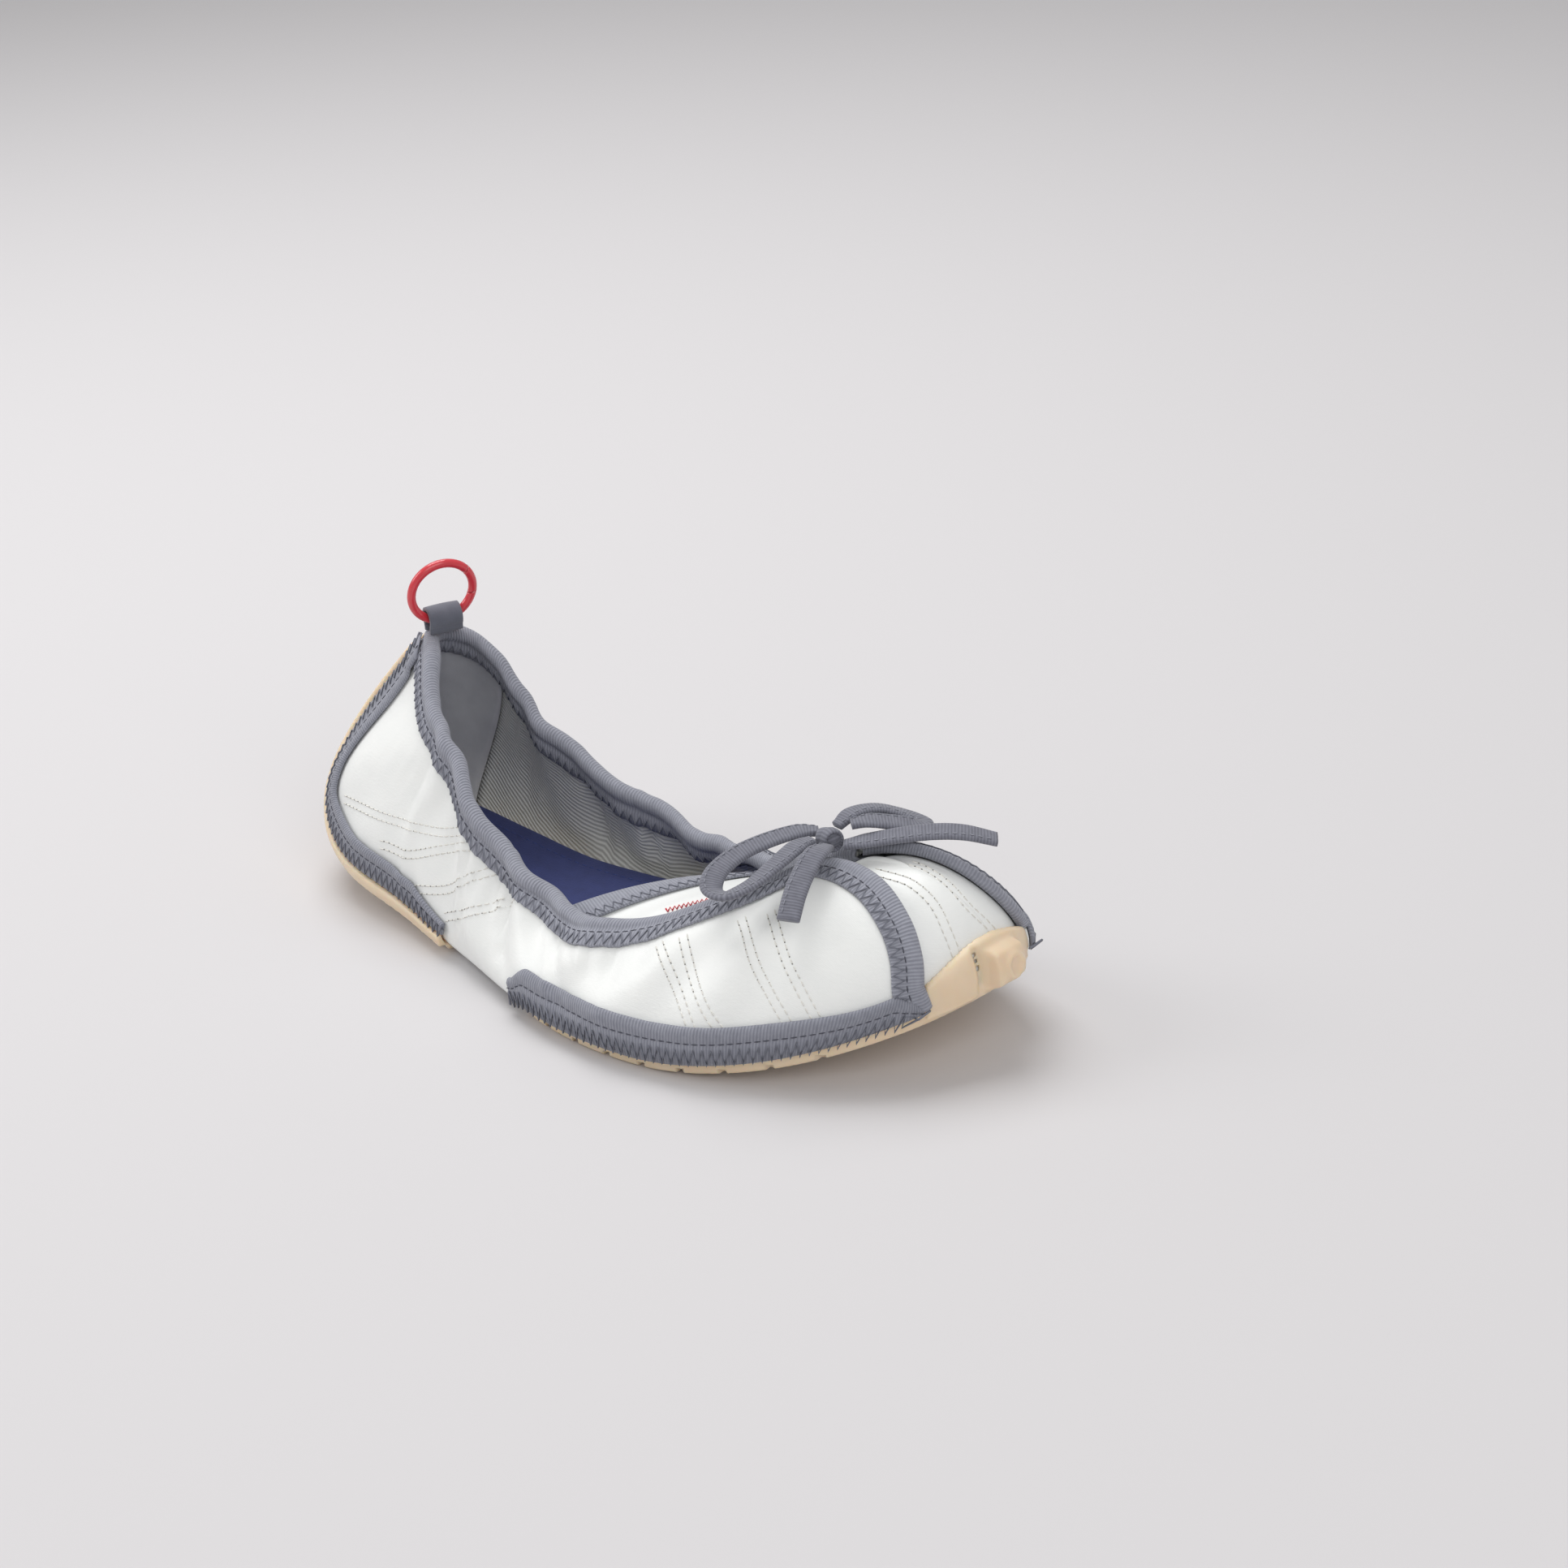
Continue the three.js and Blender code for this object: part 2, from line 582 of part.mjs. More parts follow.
// The toe bumper: lobes on both sides of a raised knob.
function toeBumper() {
  const first = BUMPER_END.lateral;
  const last = TURNS - BUMPER_END.medial;
  const steps = 24;
  const places = range(steps + 1).map((i) => lerp(first, last, i / steps));
  const middle = 10.95;
  const heightAt = (t) => {
    const k = (t - first) / (last - first);
    return 8 + 8 * Math.sin(Math.PI * k);
  };
  const knob = (t) => THREE.MathUtils.smoothstep(0.42 - Math.abs(t - middle), 0, 0.16);
  const bulgeAt = (t, k) => KNOB * knob(t) * (k > 0.85 ? 0.55 : 1) * (k > 0 ? 1 : 0.6);
  return climbingRubber(places, heightAt, () => LAYER_INNER[1] + GAP, bulgeAt);
}

function outsoleForefoot() {
  const pod = plate(FORE_POD_START, LENGTH + 20, -SOLE_OVERHANG, 0, SOLE, 30);
  const grooved = cut(pod, [
    ...notches('lateral', FORE_POD_START + 6, 232),
    ...notches('medial', FORE_POD_START + 6, 232),
  ]);
  return join([grooved, toeBumper()]);
}

// The edge of the heel rubber: a strip up the back seam that widens into a low wall. Each point
// is a place beside the seam and a share of the wall's height there.
const RUBBER_EDGE = [
  [0.3, 0.99], [0.31, 0.84], [0.33, 0.7], [0.37, 0.55], [0.45, 0.4], [0.62, 0.25], [0.95, 0.13],
  [1.7, 0.08], [2.6, 0.075], [3.6, 0.075],
];

function heelRubberHeight(t) {
  const at = Math.min(Math.max(Math.abs(t), RUBBER_EDGE[0][0]), RUBBER_EDGE.at(-1)[0]);
  const i = Math.max(1, RUBBER_EDGE.findIndex(([place]) => place >= at));
  const [a, b] = [RUBBER_EDGE[i - 1], RUBBER_EDGE[i]];
  return lerp(a[1], b[1], (at - a[0]) / (b[0] - a[0])) * ribLength(t);
}

function outsoleHeel() {
  const pod = plate(-20, HEEL_POD_END, -SOLE_OVERHANG, 0, SOLE, 16);
  const grooved = cut(pod, [
    ...notches('lateral', 14, HEEL_POD_END),
    ...notches('medial', 14, HEEL_POD_END),
  ]);
  const half = [0.15, ...RUBBER_EDGE.map(([t]) => t), 1.3, 2.15, 3.1].sort((a, b) => a - b);
  const places = [...half.map((t) => -t).reverse(), 0, ...half];
  const clear = LAYER_TAPE[0] + 0.3;
  const over = (t) => ribLength(t) - FLANGE;
  const overTape = (t, m) => (TAPE + 0.2) * THREE.MathUtils.smoothstep(m, over(t) - 6, over(t) - 2);
  const inside = (t, m) => (m < 0 ? SOLE_OVERHANG - 0.8 : clear + overTape(t, m));
  return join([grooved, climbingRubber(places, heelRubberHeight, inside, () => 0)]);
}

// The heel binding runs beside the rubber's edge. For each point of that edge below the topline
// flange: how far the tape reaches beyond it, in places and in shares of the height.
const TAPE_REACH = [
  [0.56, -0.05], [0.56, -0.01], [0.55, 0.02], [0.53, 0.05], [0.46, 0.09], [0.32, 0.12], [0.12, 0.14],
  [0.04, 0.15], [0.02, 0.15],
];
const TAPE_CLEAR = [0.05, 0.012];

function heelBinding(side) {
  const sections = TAPE_REACH.flatMap((reach, i) => {
    const [here, next] = [RUBBER_EDGE[i + 1], RUBBER_EDGE[i + 2] ?? RUBBER_EDGE[i + 1]];
    const nextReach = TAPE_REACH[i + 1] ?? reach;
    const cuts = i + 1 < TAPE_REACH.length ? [0, 1 / 3, 2 / 3] : [0];
    return cuts.map((k) => ({
      edge: [0, 1].map((axis) => lerp(here[axis], next[axis], k) + TAPE_CLEAR[axis]),
      reach: [0, 1].map((axis) => lerp(reach[axis], nextReach[axis], k)),
      profile: slab([0, 1 / 3, 2 / 3, 1], LAYER_TAPE[0] + 0.3, LAYER_TAPE[1] + 0.3),
    }));
  });
  return sweep(sections, ({ edge, reach }, k, d) => {
    const t = mirrored(side, edge[0] + k * reach[0]);
    return onWall(t, (edge[1] + k * reach[1]) * ribLength(t), d);
  });
}

const FOOT = SOLE + GAP;   // underside of the boards
const boards = {
  heel: () => plate(0, HEEL_POD_END + 4, BOARD_INSET, FOOT, FOOT + BOARD, 12),
  forefoot: () => plate(FORE_POD_START - 4, LENGTH, BOARD_INSET, FOOT, FOOT + BOARD, 16),
};
const archCover = () => plate(HEEL_POD_END + 4 + GAP, FORE_POD_START - 4 - GAP, 1, FOOT, FOOT + SATIN, 6);
const FOAM_LOW = FOOT + BOARD + GAP;
const SOCK_LOW = FOAM_LOW + FOAM + GAP;
const footbedFoam = () => plate(0, LENGTH, BOARD_INSET, FOAM_LOW, FOAM_LOW + FOAM, 26);
const sockLiner = () => plate(0, LENGTH, BOARD_INSET - 0.4, SOCK_LOW, SOCK_LOW + SOCK, 26);

function roundTube(path, diameter, steps) {
  const section = new THREE.Shape(range(TUBE_SIDES).map((i) => {
    const a = (2 * Math.PI * i) / TUBE_SIDES;
    return new THREE.Vector2((diameter / 2) * Math.cos(a), (diameter / 2) * Math.sin(a));
  }));
  return new THREE.ExtrudeGeometry(section, { steps, extrudePath: path, bevelEnabled: false });
}

// ---------------------------------------------------------------- pull loop and ring
// The loop stands on the heel, its bore across the heel. Local x is the bore, local z is up.
const heelTop = onWall(0, ribLength(0) + ROLL + GAP, 0);
const boreAxis = new THREE.Vector3(0, 1, 0).applyAxisAngle(
  new THREE.Vector3(0, 0, 1),
  -THREE.MathUtils.degToRad(LOOP_TURN),
);
const loopUp = new THREE.Vector3(0, 0, 1);
const loopFrame = new THREE.Matrix4().makeBasis(
  boreAxis,
  new THREE.Vector3().crossVectors(loopUp, boreAxis),
  loopUp,
).setPosition(heelTop.clone().add(new THREE.Vector3(1.5, 0, LOOP_BORE / 2 + LOOP_WALL + 1.6)));

function pullLoop() {
  const outer = LOOP_BORE / 2 + LOOP_WALL;
  const shape = new THREE.Shape();
  shape.absarc(0, 0, outer, 0, Math.PI, false);
  shape.lineTo(-outer * 0.75, -outer);
  shape.lineTo(outer * 0.75, -outer);
  const bore = new THREE.Path();
  bore.absarc(0, 0, LOOP_BORE / 2, 0, 2 * Math.PI, false);
  shape.holes.push(bore);
  const options = { depth: LOOP_WIDTH, bevelEnabled: false, curveSegments: 12 };
  const loop = new THREE.ExtrudeGeometry(shape, options);
  loop.translate(0, 0, -LOOP_WIDTH / 2);
  loop.applyMatrix4(new THREE.Matrix4().makeBasis(
    new THREE.Vector3(0, 1, 0), new THREE.Vector3(0, 0, 1), new THREE.Vector3(1, 0, 0),
  ));
  return loop.applyMatrix4(loopFrame);
}

// Points on the ring's centre line; angle 0 is in the pull loop's bore.
function ringPoint(degrees) {
  const a = THREE.MathUtils.degToRad(degrees);
  const height = RING_RADIUS * (1 - Math.cos(a)) - RING_DROP;
  const upright = new THREE.Vector3(RING_RADIUS * Math.sin(a), 0, height);
  return upright.applyAxisAngle(new THREE.Vector3(1, 0, 0), THREE.MathUtils.degToRad(RING_LEAN));
}

function wireArc(from, to, steps) {
  const path = new THREE.CatmullRomCurve3(range(steps + 1).map((i) => ringPoint(lerp(from, to, i / steps))));
  return roundTube(path, RING_WIRE, steps);
}

const degreesOf = (mm) => THREE.MathUtils.radToDeg(mm / RING_RADIUS);
const gateFrom = GATE_START - GATE_SWEEP;

function ring() {
  const clear = degreesOf(GATE_GAP);
  const pivotClear = degreesOf(RING_WIRE / 2 + GAP);
  return wireArc(GATE_START + pivotClear, 360 + gateFrom - clear, 30).applyMatrix4(loopFrame);
}

function ringGate() {
  const pivot = ringPoint(GATE_START);
  const knuckle = new THREE.SphereGeometry(RING_WIRE / 2, 8, 6).translate(pivot.x, pivot.y, pivot.z);
  return join([wireArc(gateFrom, GATE_START, 5), knuckle]).applyMatrix4(loopFrame);
}

// ---------------------------------------------------------------- bow
// Routes of the tape from the knot, chosen by hand, above the throat.
const KNOT = [197, 0, 56];
const KNOT_RADII = [3.4 * LENGTHWISE, 3.4, 3.2];
const BOW_ROUTES = {
  bow_loop_lateral: [
    [192.2, 1.2, 56.5], [188, -3, 57], [183, -11, 56], [179, -19, 54], [178, -27, 51.5],
    [181, -32.5, 49.5], [186.5, -33, 49.5], [190.5, -27, 51.5], [192.5, -19, 54.5], [193.4, -10, 56.8],
    [194.6, -4.6, 56.6],
  ],
  bow_loop_medial: [
    [195.8, 5.2, 57.5], [197, 11, 59.5], [201, 17, 59.5], [207, 21.5, 57.5], [212.5, 22.5, 56.2],
    [213.5, 18.5, 57], [209, 13.5, 58.8], [204.5, 9, 60], [200.8, 5.2, 59.4],
  ],
  bow_tail_lateral: [
    [199.8, -4.4, 56], [201, -11, 57.5], [202.5, -18, 55.4], [204.5, -25, 52], [207, -31.5, 47.5],
  ],
  bow_tail_medial: [
    [202, 0.2, 55.4], [208, 4.6, 56.8], [215, 9.5, 58.2], [222, 15, 58.9], [229, 20, 58.5], [236, 25.5, 56],
  ],
};

function laceTube(route) {
  const path = new THREE.CatmullRomCurve3(route.map(scaledPoint));
  return roundTube(path, LACE, Math.max(4, Math.round(path.getLength() / (1.3 * LACE))));
}

function bowKnot() {
  const { x, y, z } = scaledPoint(KNOT);
  return new THREE.SphereGeometry(1, 12, 8).scale(...KNOT_RADII).translate(x, y, z);
}

// ---------------------------------------------------------------- assembly
const finish = (color, roughness, metalness = 0) => ({ color, roughness, metalness });
const satin = finish('#eef0ee', 0.45);
const liningCloth = finish('#cfd0cb', 0.9);
const greyLining = finish('#7d7d84', 0.9);
const tape = finish('#8f909b', 0.85);
const gum = finish('#d9bb9c', 0.55);
const navy = finish('#3a4160', 0.95);
const board = finish('#b8a58a', 0.9);
const redWire = finish('#d9434b', 0.35);
const lace = finish('#77787f', 0.85);

const PIECES = [
  ['outsole_forefoot', outsoleForefoot, gum],
  ['outsole_heel', outsoleHeel, gum],
  ['insole_board_forefoot', boards.forefoot, board],
  ['insole_board_heel', boards.heel, board],
  ['arch_cover', archCover, satin],
  ['footbed_foam', footbedFoam, liningCloth],
  ['sock_liner', sockLiner, navy],
  ['vamp', vamp, satin],
  ['vamp_lining', vampLining, liningCloth],
  ['toe_puff', toePuff, board],
  ['tongue_binding', tongueBinding, tape],
  ['quarter_lateral', () => quarter('lateral'), satin],
  ['quarter_medial', () => quarter('medial'), satin],
  ['quarter_lining_lateral', () => quarterLining('lateral'), liningCloth],
  ['quarter_lining_medial', () => quarterLining('medial'), liningCloth],
  ['heel_counter', heelCounter, board],
  ['heel_lining', heelLining, greyLining],
  ['topline_binding', toplineBinding, tape],
  ['topline_elastic', toplineElastic, liningCloth],
  ['front_binding_lateral', () => frontBinding('lateral'), tape],
  ['front_binding_medial', () => frontBinding('medial'), tape],
  ['sole_binding_lateral', () => soleBinding('lateral'), tape],
  ['sole_binding_medial', () => soleBinding('medial'), tape],
  ['heel_binding_lateral', () => heelBinding('lateral'), tape],
  ['heel_binding_medial', () => heelBinding('medial'), tape],
  ['pull_loop', pullLoop, lace],
  ['ring', ring, redWire],
  ['ring_gate', ringGate, redWire],
  ['bow_knot', bowKnot, lace],
  ...Object.entries(BOW_ROUTES).map(([name, route]) => [name, () => laceTube(route), lace]),
];

const slipper = new THREE.Group();
for (const [name, make, look] of PIECES) {
  const mesh = new THREE.Mesh(make(), new THREE.MeshStandardMaterial(look));
  mesh.name = name;
  slipper.add(mesh);
}

// The origin under the middle of the slipper, measured without the bow, which lies free.
function baseCentre() {
  const box = new THREE.Box3();
  for (const mesh of slipper.children) {
    if (!mesh.name.startsWith('bow_')) box.expandByObject(mesh);
  }
  return new THREE.Vector3((box.min.x + box.max.x) / 2, (box.min.y + box.max.y) / 2, box.min.z);
}

slipper.position.sub(baseCentre());
export default slipper;
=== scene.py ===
"""A right-foot ballet slipper in satin, with a split gum sole, tape bindings and a tape bow.

The cloth layers all lie on one form, which is given by stations round the foot. Each layer is a
distance outside that form, so the cloth, its linings, its bindings and its stitches stay parallel.
"""
import json
import logging
import math
from dataclasses import dataclass, field
from enum import Enum

import bmesh
import bpy
import numpy as np
from mathutils import Matrix, Vector


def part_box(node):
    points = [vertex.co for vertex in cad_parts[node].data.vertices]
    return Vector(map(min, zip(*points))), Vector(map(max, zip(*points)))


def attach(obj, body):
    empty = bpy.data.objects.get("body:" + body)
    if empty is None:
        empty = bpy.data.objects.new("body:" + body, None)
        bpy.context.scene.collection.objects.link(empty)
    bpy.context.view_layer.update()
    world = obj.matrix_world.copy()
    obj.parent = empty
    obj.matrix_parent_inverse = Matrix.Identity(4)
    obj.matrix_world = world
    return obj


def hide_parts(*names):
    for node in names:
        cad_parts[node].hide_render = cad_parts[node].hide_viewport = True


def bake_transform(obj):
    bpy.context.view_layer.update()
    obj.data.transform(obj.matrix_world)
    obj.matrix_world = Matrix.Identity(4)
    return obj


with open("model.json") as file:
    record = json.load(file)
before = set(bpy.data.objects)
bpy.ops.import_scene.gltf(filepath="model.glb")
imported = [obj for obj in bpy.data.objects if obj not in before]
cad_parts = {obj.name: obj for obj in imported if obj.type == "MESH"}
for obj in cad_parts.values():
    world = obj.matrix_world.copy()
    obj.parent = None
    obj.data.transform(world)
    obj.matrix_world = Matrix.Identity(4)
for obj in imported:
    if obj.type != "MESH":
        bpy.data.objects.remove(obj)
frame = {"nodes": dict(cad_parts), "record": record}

LOG = logging.getLogger("slipper")
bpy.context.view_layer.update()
MM = 0.001


class Side(Enum):
    """The outer and the inner side of the foot."""

    LATERAL = "lateral"
    MEDIAL = "medial"


class Held(Enum):
    """How a piece follows the frame: with one sole pod, the ring's parts, or, at the arch, fixed in place
    without a body.
    """

    FOREFOOT = "forefoot"
    HEEL = "heel"
    RING = "ring"
    GATE = "gate"
    ARCH = "arch"


# ------------------------------------------------------------------ the form of the foot
@dataclass(frozen=True)
class Station:
    """One place round the foot.

    Args:
        foot: outline on the sole, in mm.
        top: cloth edge, or the crown over the toes, in mm.
        swell: how far the wall bulges outwards low down.
        shoulder: how far it bulges high up.
        drop: share of the height over which the wall leans into its top.
    """

    foot: tuple[float, float]
    top: tuple[float, float, float]
    swell: float
    shoulder: float
    drop: float


STATIONS = [
    Station((11, -3), (38, 8, 77), 13, 15, 0.3),
    Station((17, -18), (47, -2, 75), 11, 10, 0.3),
    Station((33, -27), (57, -13, 66), 8, 7, 0.35),
    Station((62, -32), (73, -22, 57), 5, 3, 0.35),
    Station((92, -40), (94, -31, 41), 4, 1, 0.35),
    Station((120, -49), (117, -33, 30), 4, 2, 0.3),
    Station((148, -54), (142, -38, 27), 4, 6, 0.2),
    Station((176, -52), (170, -27, 35), 4, 13, 0.08),
    Station((201, -43), (191, -8, 45), 4, 19, 0),
    Station((222, -29), (206, 2, 50), 4, 20, 0),
    Station((239, -10), (216, 5, 51), 3, 17, 0),
    Station((246, 12), (220, 6, 51), 3, 16, 0),
    Station((238, 31), (214, 7, 51), 3, 18, 0),
    Station((214, 39), (199, 7, 48), 4, 19, 0),
    Station((186, 39), (183, 8, 41), 4, 18, 0.04),
    Station((157, 34), (158, 15, 30), 4, 9, 0.15),
    Station((126, 27), (130, 20, 28), 4, 3, 0.3),
    Station((93, 23), (99, 21, 35), 4, 2, 0.35),
    Station((60, 23), (71, 18, 49), 5, 3, 0.35),
    Station((33, 21), (54, 17, 68), 8, 7, 0.35),
    Station((17, 12), (44, 15, 75), 11, 10, 0.3),
]
TURNS = len(STATIONS)
THROAT = 8.25
HEEL_SEAM = 0.03
TOE = 11
FRONT_END = {Side.LATERAL: 9.74, Side.MEDIAL: 9.2}
BUMPER_END = {Side.LATERAL: 9.88, Side.MEDIAL: 9.3}
FRONT_EDGE = np.array([(0, 1), (0.4, 0.88), (0.74, 0.73), (0.93, 0.55), (1, 0.36), (1, 0.18)])

SOLE = 4.0
SEAM = 0.3
TOE_SPRING, TOE_SPRING_START = 22.0, 165.0
HEEL_SPRING, HEEL_SPRING_START = 13.0, 90.0
LENGTH = 250.0
FORE_POD_START, HEEL_POD_END = 120.0, 82.0
TONGUE_END = (5.2, 6.4)
TONGUE_DEPTH = 3.5

# Layers, in mm outside the form: inner and outer face.
INNER = (-0.6, 0.4)
HEEL_LINING = (-0.3, 0.4)
LINING = (0.7, 1.4)
SATIN = (1.7, 2.9)
TAPE = (3.2, 4.0)
PUFF = (-1.8, -0.9)
VAMP_LINING = (-2.8, -2.1)
FLANGE_INSIDE = -1.4


def smooth(x: np.ndarray, low: float, high: float) -> np.ndarray:
    """A smooth rise from 0 at low to 1 at high."""
    k = np.clip((np.asarray(x, float) - low) / (high - low), 0, 1)
    return k * k * (3 - 2 * k)


def mix(a: np.ndarray, b: np.ndarray, k: np.ndarray) -> np.ndarray:
    """The value at share k of the way from a to b."""
    return a + (b - a) * k


def unit(v: np.ndarray) -> np.ndarray:
    """Vectors brought to length 1."""
    return v / np.maximum(np.linalg.norm(v, axis=-1, keepdims=True), 1e-9)


def spline(points: np.ndarray, places: np.ndarray, closed: bool) -> np.ndarray:
    """A Catmull-Rom curve through points, at places counted in points.

    Args:
        points: one row for each point.
        places: where to read the curve.
        closed: whether it runs back to its first point.

    Returns:
        One row for each place.
    """
    points, places = np.asarray(points, float), np.asarray(places, float)
    count = len(points)
    if closed:
        i = np.floor(places).astype(int)
        before, here, after, beyond = (points[(i + k) % count] for k in (-1, 0, 1, 2))
    else:
        longer = np.vstack([2 * points[0] - points[1], points, 2 * points[-1] - points[-2]])
        i = np.clip(np.floor(places).astype(int), 0, count - 2)
        before, here, after, beyond = (longer[i + k] for k in (0, 1, 2, 3))
    k = (places - i)[..., None]
    a, b = (after - before) / 2, (beyond - here) / 2
    return ((2 * k**3 - 3 * k**2 + 1) * here + (k**3 - 2 * k**2 + k) * a
            + (3 * k**2 - 2 * k**3) * after + (k**3 - k**2) * b)


def spring(x: np.ndarray) -> np.ndarray:
    """How far the underside of the sole is above the floor at distance x from the heel.

    Args:
        x: distances from the back of the heel, in mm.

    Returns:
        Heights above the floor, in mm.
    """
    ahead = np.clip((x - TOE_SPRING_START) / (LENGTH - TOE_SPRING_START), 0, None)
    behind = np.clip(1 - x / HEEL_SPRING_START, 0, None)
    return TOE_SPRING * ahead**2 + HEEL_SPRING * behind**1.5


class Form:
    """The form that all cloth layers lie on, in the last's own mm, x from the back of the heel.

    Places t count stations round the foot, heights s run up the wall from the sole, and d is the
    distance outside the form.
    """

    PER_STATION = 24
    STEPS = 48

    def __init__(self) -> None:
        """Tabulates the walls."""
        self.t = np.arange(TURNS * self.PER_STATION) / self.PER_STATION
        feet = np.array([(*s.foot, 0.0) for s in STATIONS])
        tops = np.array([s.top for s in STATIONS], float)
        shape = np.array([(s.swell, s.shoulder, s.drop) for s in STATIONS])
        foot = spline(feet, self.t, True)
        foot[:, 2] = SOLE + SEAM + spring(foot[:, 0])
        top = spline(tops, self.t, True)
        swell, shoulder, drop = spline(shape, self.t, True).T
        tangent = spline(feet, self.t + 0.05, True) - spline(feet, self.t - 0.05, True)
        tangent[:, 2] = 0
        tangent = unit(tangent)
        out = np.stack([tangent[:, 1], -tangent[:, 0], 0 * swell], 1)
        height = top[:, 2] - foot[:, 2]
        low = foot + out * swell[:, None]
        low[:, 2] = foot[:, 2] + 0.3 * height
        high = top + out * shoulder[:, None]
        high[:, 2] = top[:, 2] - drop * height
        self.foot, self.out = foot, out
        self._tabulate(foot, low, high, top, tangent)

    def _tabulate(self, foot: np.ndarray, low: np.ndarray, high: np.ndarray, top: np.ndarray,
                  tangent: np.ndarray) -> None:
        """Reads each wall's curve at even steps of its length.

        Args:
            foot: where each wall starts.
            low: its first control point.
            high: its second control point.
            top: where it ends.
            tangent: the direction round the foot.
        """
        k = np.linspace(0, 1, 161)[None, :, None]
        a, b, c, e = (p[:, None, :] for p in (foot, low, high, top))
        curve = (1 - k)**3 * a + 3 * k * (1 - k)**2 * b + 3 * k**2 * (1 - k) * c + k**3 * e
        steps = np.linalg.norm(np.diff(curve, axis=1), axis=2)
        run = np.concatenate([np.zeros((len(curve), 1)), np.cumsum(steps, 1)], 1)
        self.length = run[:, -1]
        even = np.linspace(0, 1, self.STEPS + 1)
        self.points = np.empty((len(curve), self.STEPS + 1, 3))
        for i, row in enumerate(curve):
            for axis in range(3):
                self.points[i, :, axis] = np.interp(even * self.length[i], run[i], row[:, axis])
        self.along = unit(np.gradient(self.points, axis=1))
        self.normal = unit(np.cross(tangent[:, None, :], self.along))

    def _read(self, table: np.ndarray, t: np.ndarray, k: np.ndarray) -> np.ndarray:
        """A table's value at place t and share k of the wall's length.

        Args:
            table: values for each wall and step.
            t: places round the foot, in stations.
            k: shares of the wall's length.

        Returns:
            The values between the table's own.
        """
        x = np.mod(t, TURNS) * self.PER_STATION
        y = np.clip(k, 0, 1) * self.STEPS
        i, j = np.floor(x).astype(int), np.minimum(np.floor(y).astype(int), self.STEPS - 1)
        fx, fy = (x - i)[..., None], (y - j)[..., None]
        i0, i1 = i % len(self.t), (i + 1) % len(self.t)
        near = table[i0, j] * (1 - fy) + table[i0, j + 1] * fy
        far = table[i1, j] * (1 - fy) + table[i1, j + 1] * fy
        return near * (1 - fx) + far * fx

    def length_at(self, t: np.ndarray) -> np.ndarray:
        """Length of the wall at place t.

        Args:
            t: places round the foot, in stations.

        Returns:
            Lengths in mm.
        """
        x = np.mod(np.asarray(t, float), TURNS) * self.PER_STATION
        i = np.floor(x).astype(int)
        return mix(self.length[i % len(self.t)], self.length[(i + 1) % len(self.t)], x - i)

    def wrinkle(self, t: np.ndarray, k: np.ndarray) -> np.ndarray:
        """How far the cloth stands out of the form in its gathers and folds, in mm.

        Args:
            t: places round the foot, in stations.
            k: shares of the wall's length.

        Returns:
            Offsets in mm.
        """
        t = np.mod(t, TURNS)
        inner = t > TURNS / 2
        a = np.where(inner, TURNS - t, t)
        phase = np.where(inner, 1.7, 0.0)
        k = np.clip(k, 0, 1)
        hold = smooth(k, 0.02, 0.3)
        arch = np.exp(-((a - 4.3) / 1.5)**2)
        waist = smooth(a, 1.3, 2.6) * (1 - smooth(a, 6.2, 7.6))
        gathers = 0.55 * waist * k**1.6 * np.sin(2 * np.pi * (1.15 * a + 0.3 * np.sin(2.3 * a)) + phase)
        pleats = 0.55 * waist * np.exp(-((k - 0.68) / 0.17)**2) * np.sin(2 * np.pi
                                                                         * (2.9 * a + 0.4 * np.sin(3.1 * a))
                                                                         + phase)
        folds = 1.7 * arch * hold * (1 - 0.35 * smooth(k, 0.7, 1)) * np.sin(2 * np.pi
                                                                            * (0.95 * a + 0.55 * k) + 1.2
                                                                            + phase)
        crease = np.mod(1.15 * a + 0.5 * k + 0.12 * np.sin(3 * a) + 0.1 * phase, 1) - 0.5
        sharp = 1.5 * arch * hold * (1 - 0.8 * smooth(k, 0.6, 0.95)) * (np.exp(-(crease / 0.07)**2) - 0.6
                                                                        * np.exp(-((crease - 0.16) / 0.1)**2))
        heel = 0.8 * np.exp(-((a - 1.5) / 0.9)**2) * hold * (1 - smooth(k, 0.75, 1))
        dents = heel * np.sin(2 * np.pi * (0.55 * a - 1.15 * k) + 0.6 + phase)
        ball = 1.0 * smooth(a, 4.9, 5.7) * (1 - smooth(a, 7.6, 8.6)) * hold * (1 - 0.6 * k**2)
        slack = ball * np.sin(2 * np.pi * (0.95 * a - 0.4 * k + 0.2 * np.sin(5 * k)) + phase)
        return gathers + pleats + folds + sharp - 0.35 * arch * hold + dents + slack

    def wall(self, t: np.ndarray, s: np.ndarray, d: np.ndarray) -> np.ndarray:
        """Points s mm up the wall at place t, d mm outside the form.

        Args:
            t: places round the foot, in stations.
            s: heights up the wall, in mm.
            d: distance outside the form, in mm.

        Returns:
            One point for each place.
        """
        t, s, d = np.broadcast_arrays(*(np.asarray(v, float) for v in (t, s, d)))
        length = self.length_at(t)
        k = s / length
        along = unit(self._read(self.along, t, k))
        normal = unit(self._read(self.normal, t, k))
        beyond = (s - np.clip(k, 0, 1) * length)[..., None]
        out = (d + self.wrinkle(t, k))[..., None]
        return self._read(self.points, t, k) + along * beyond + normal * out

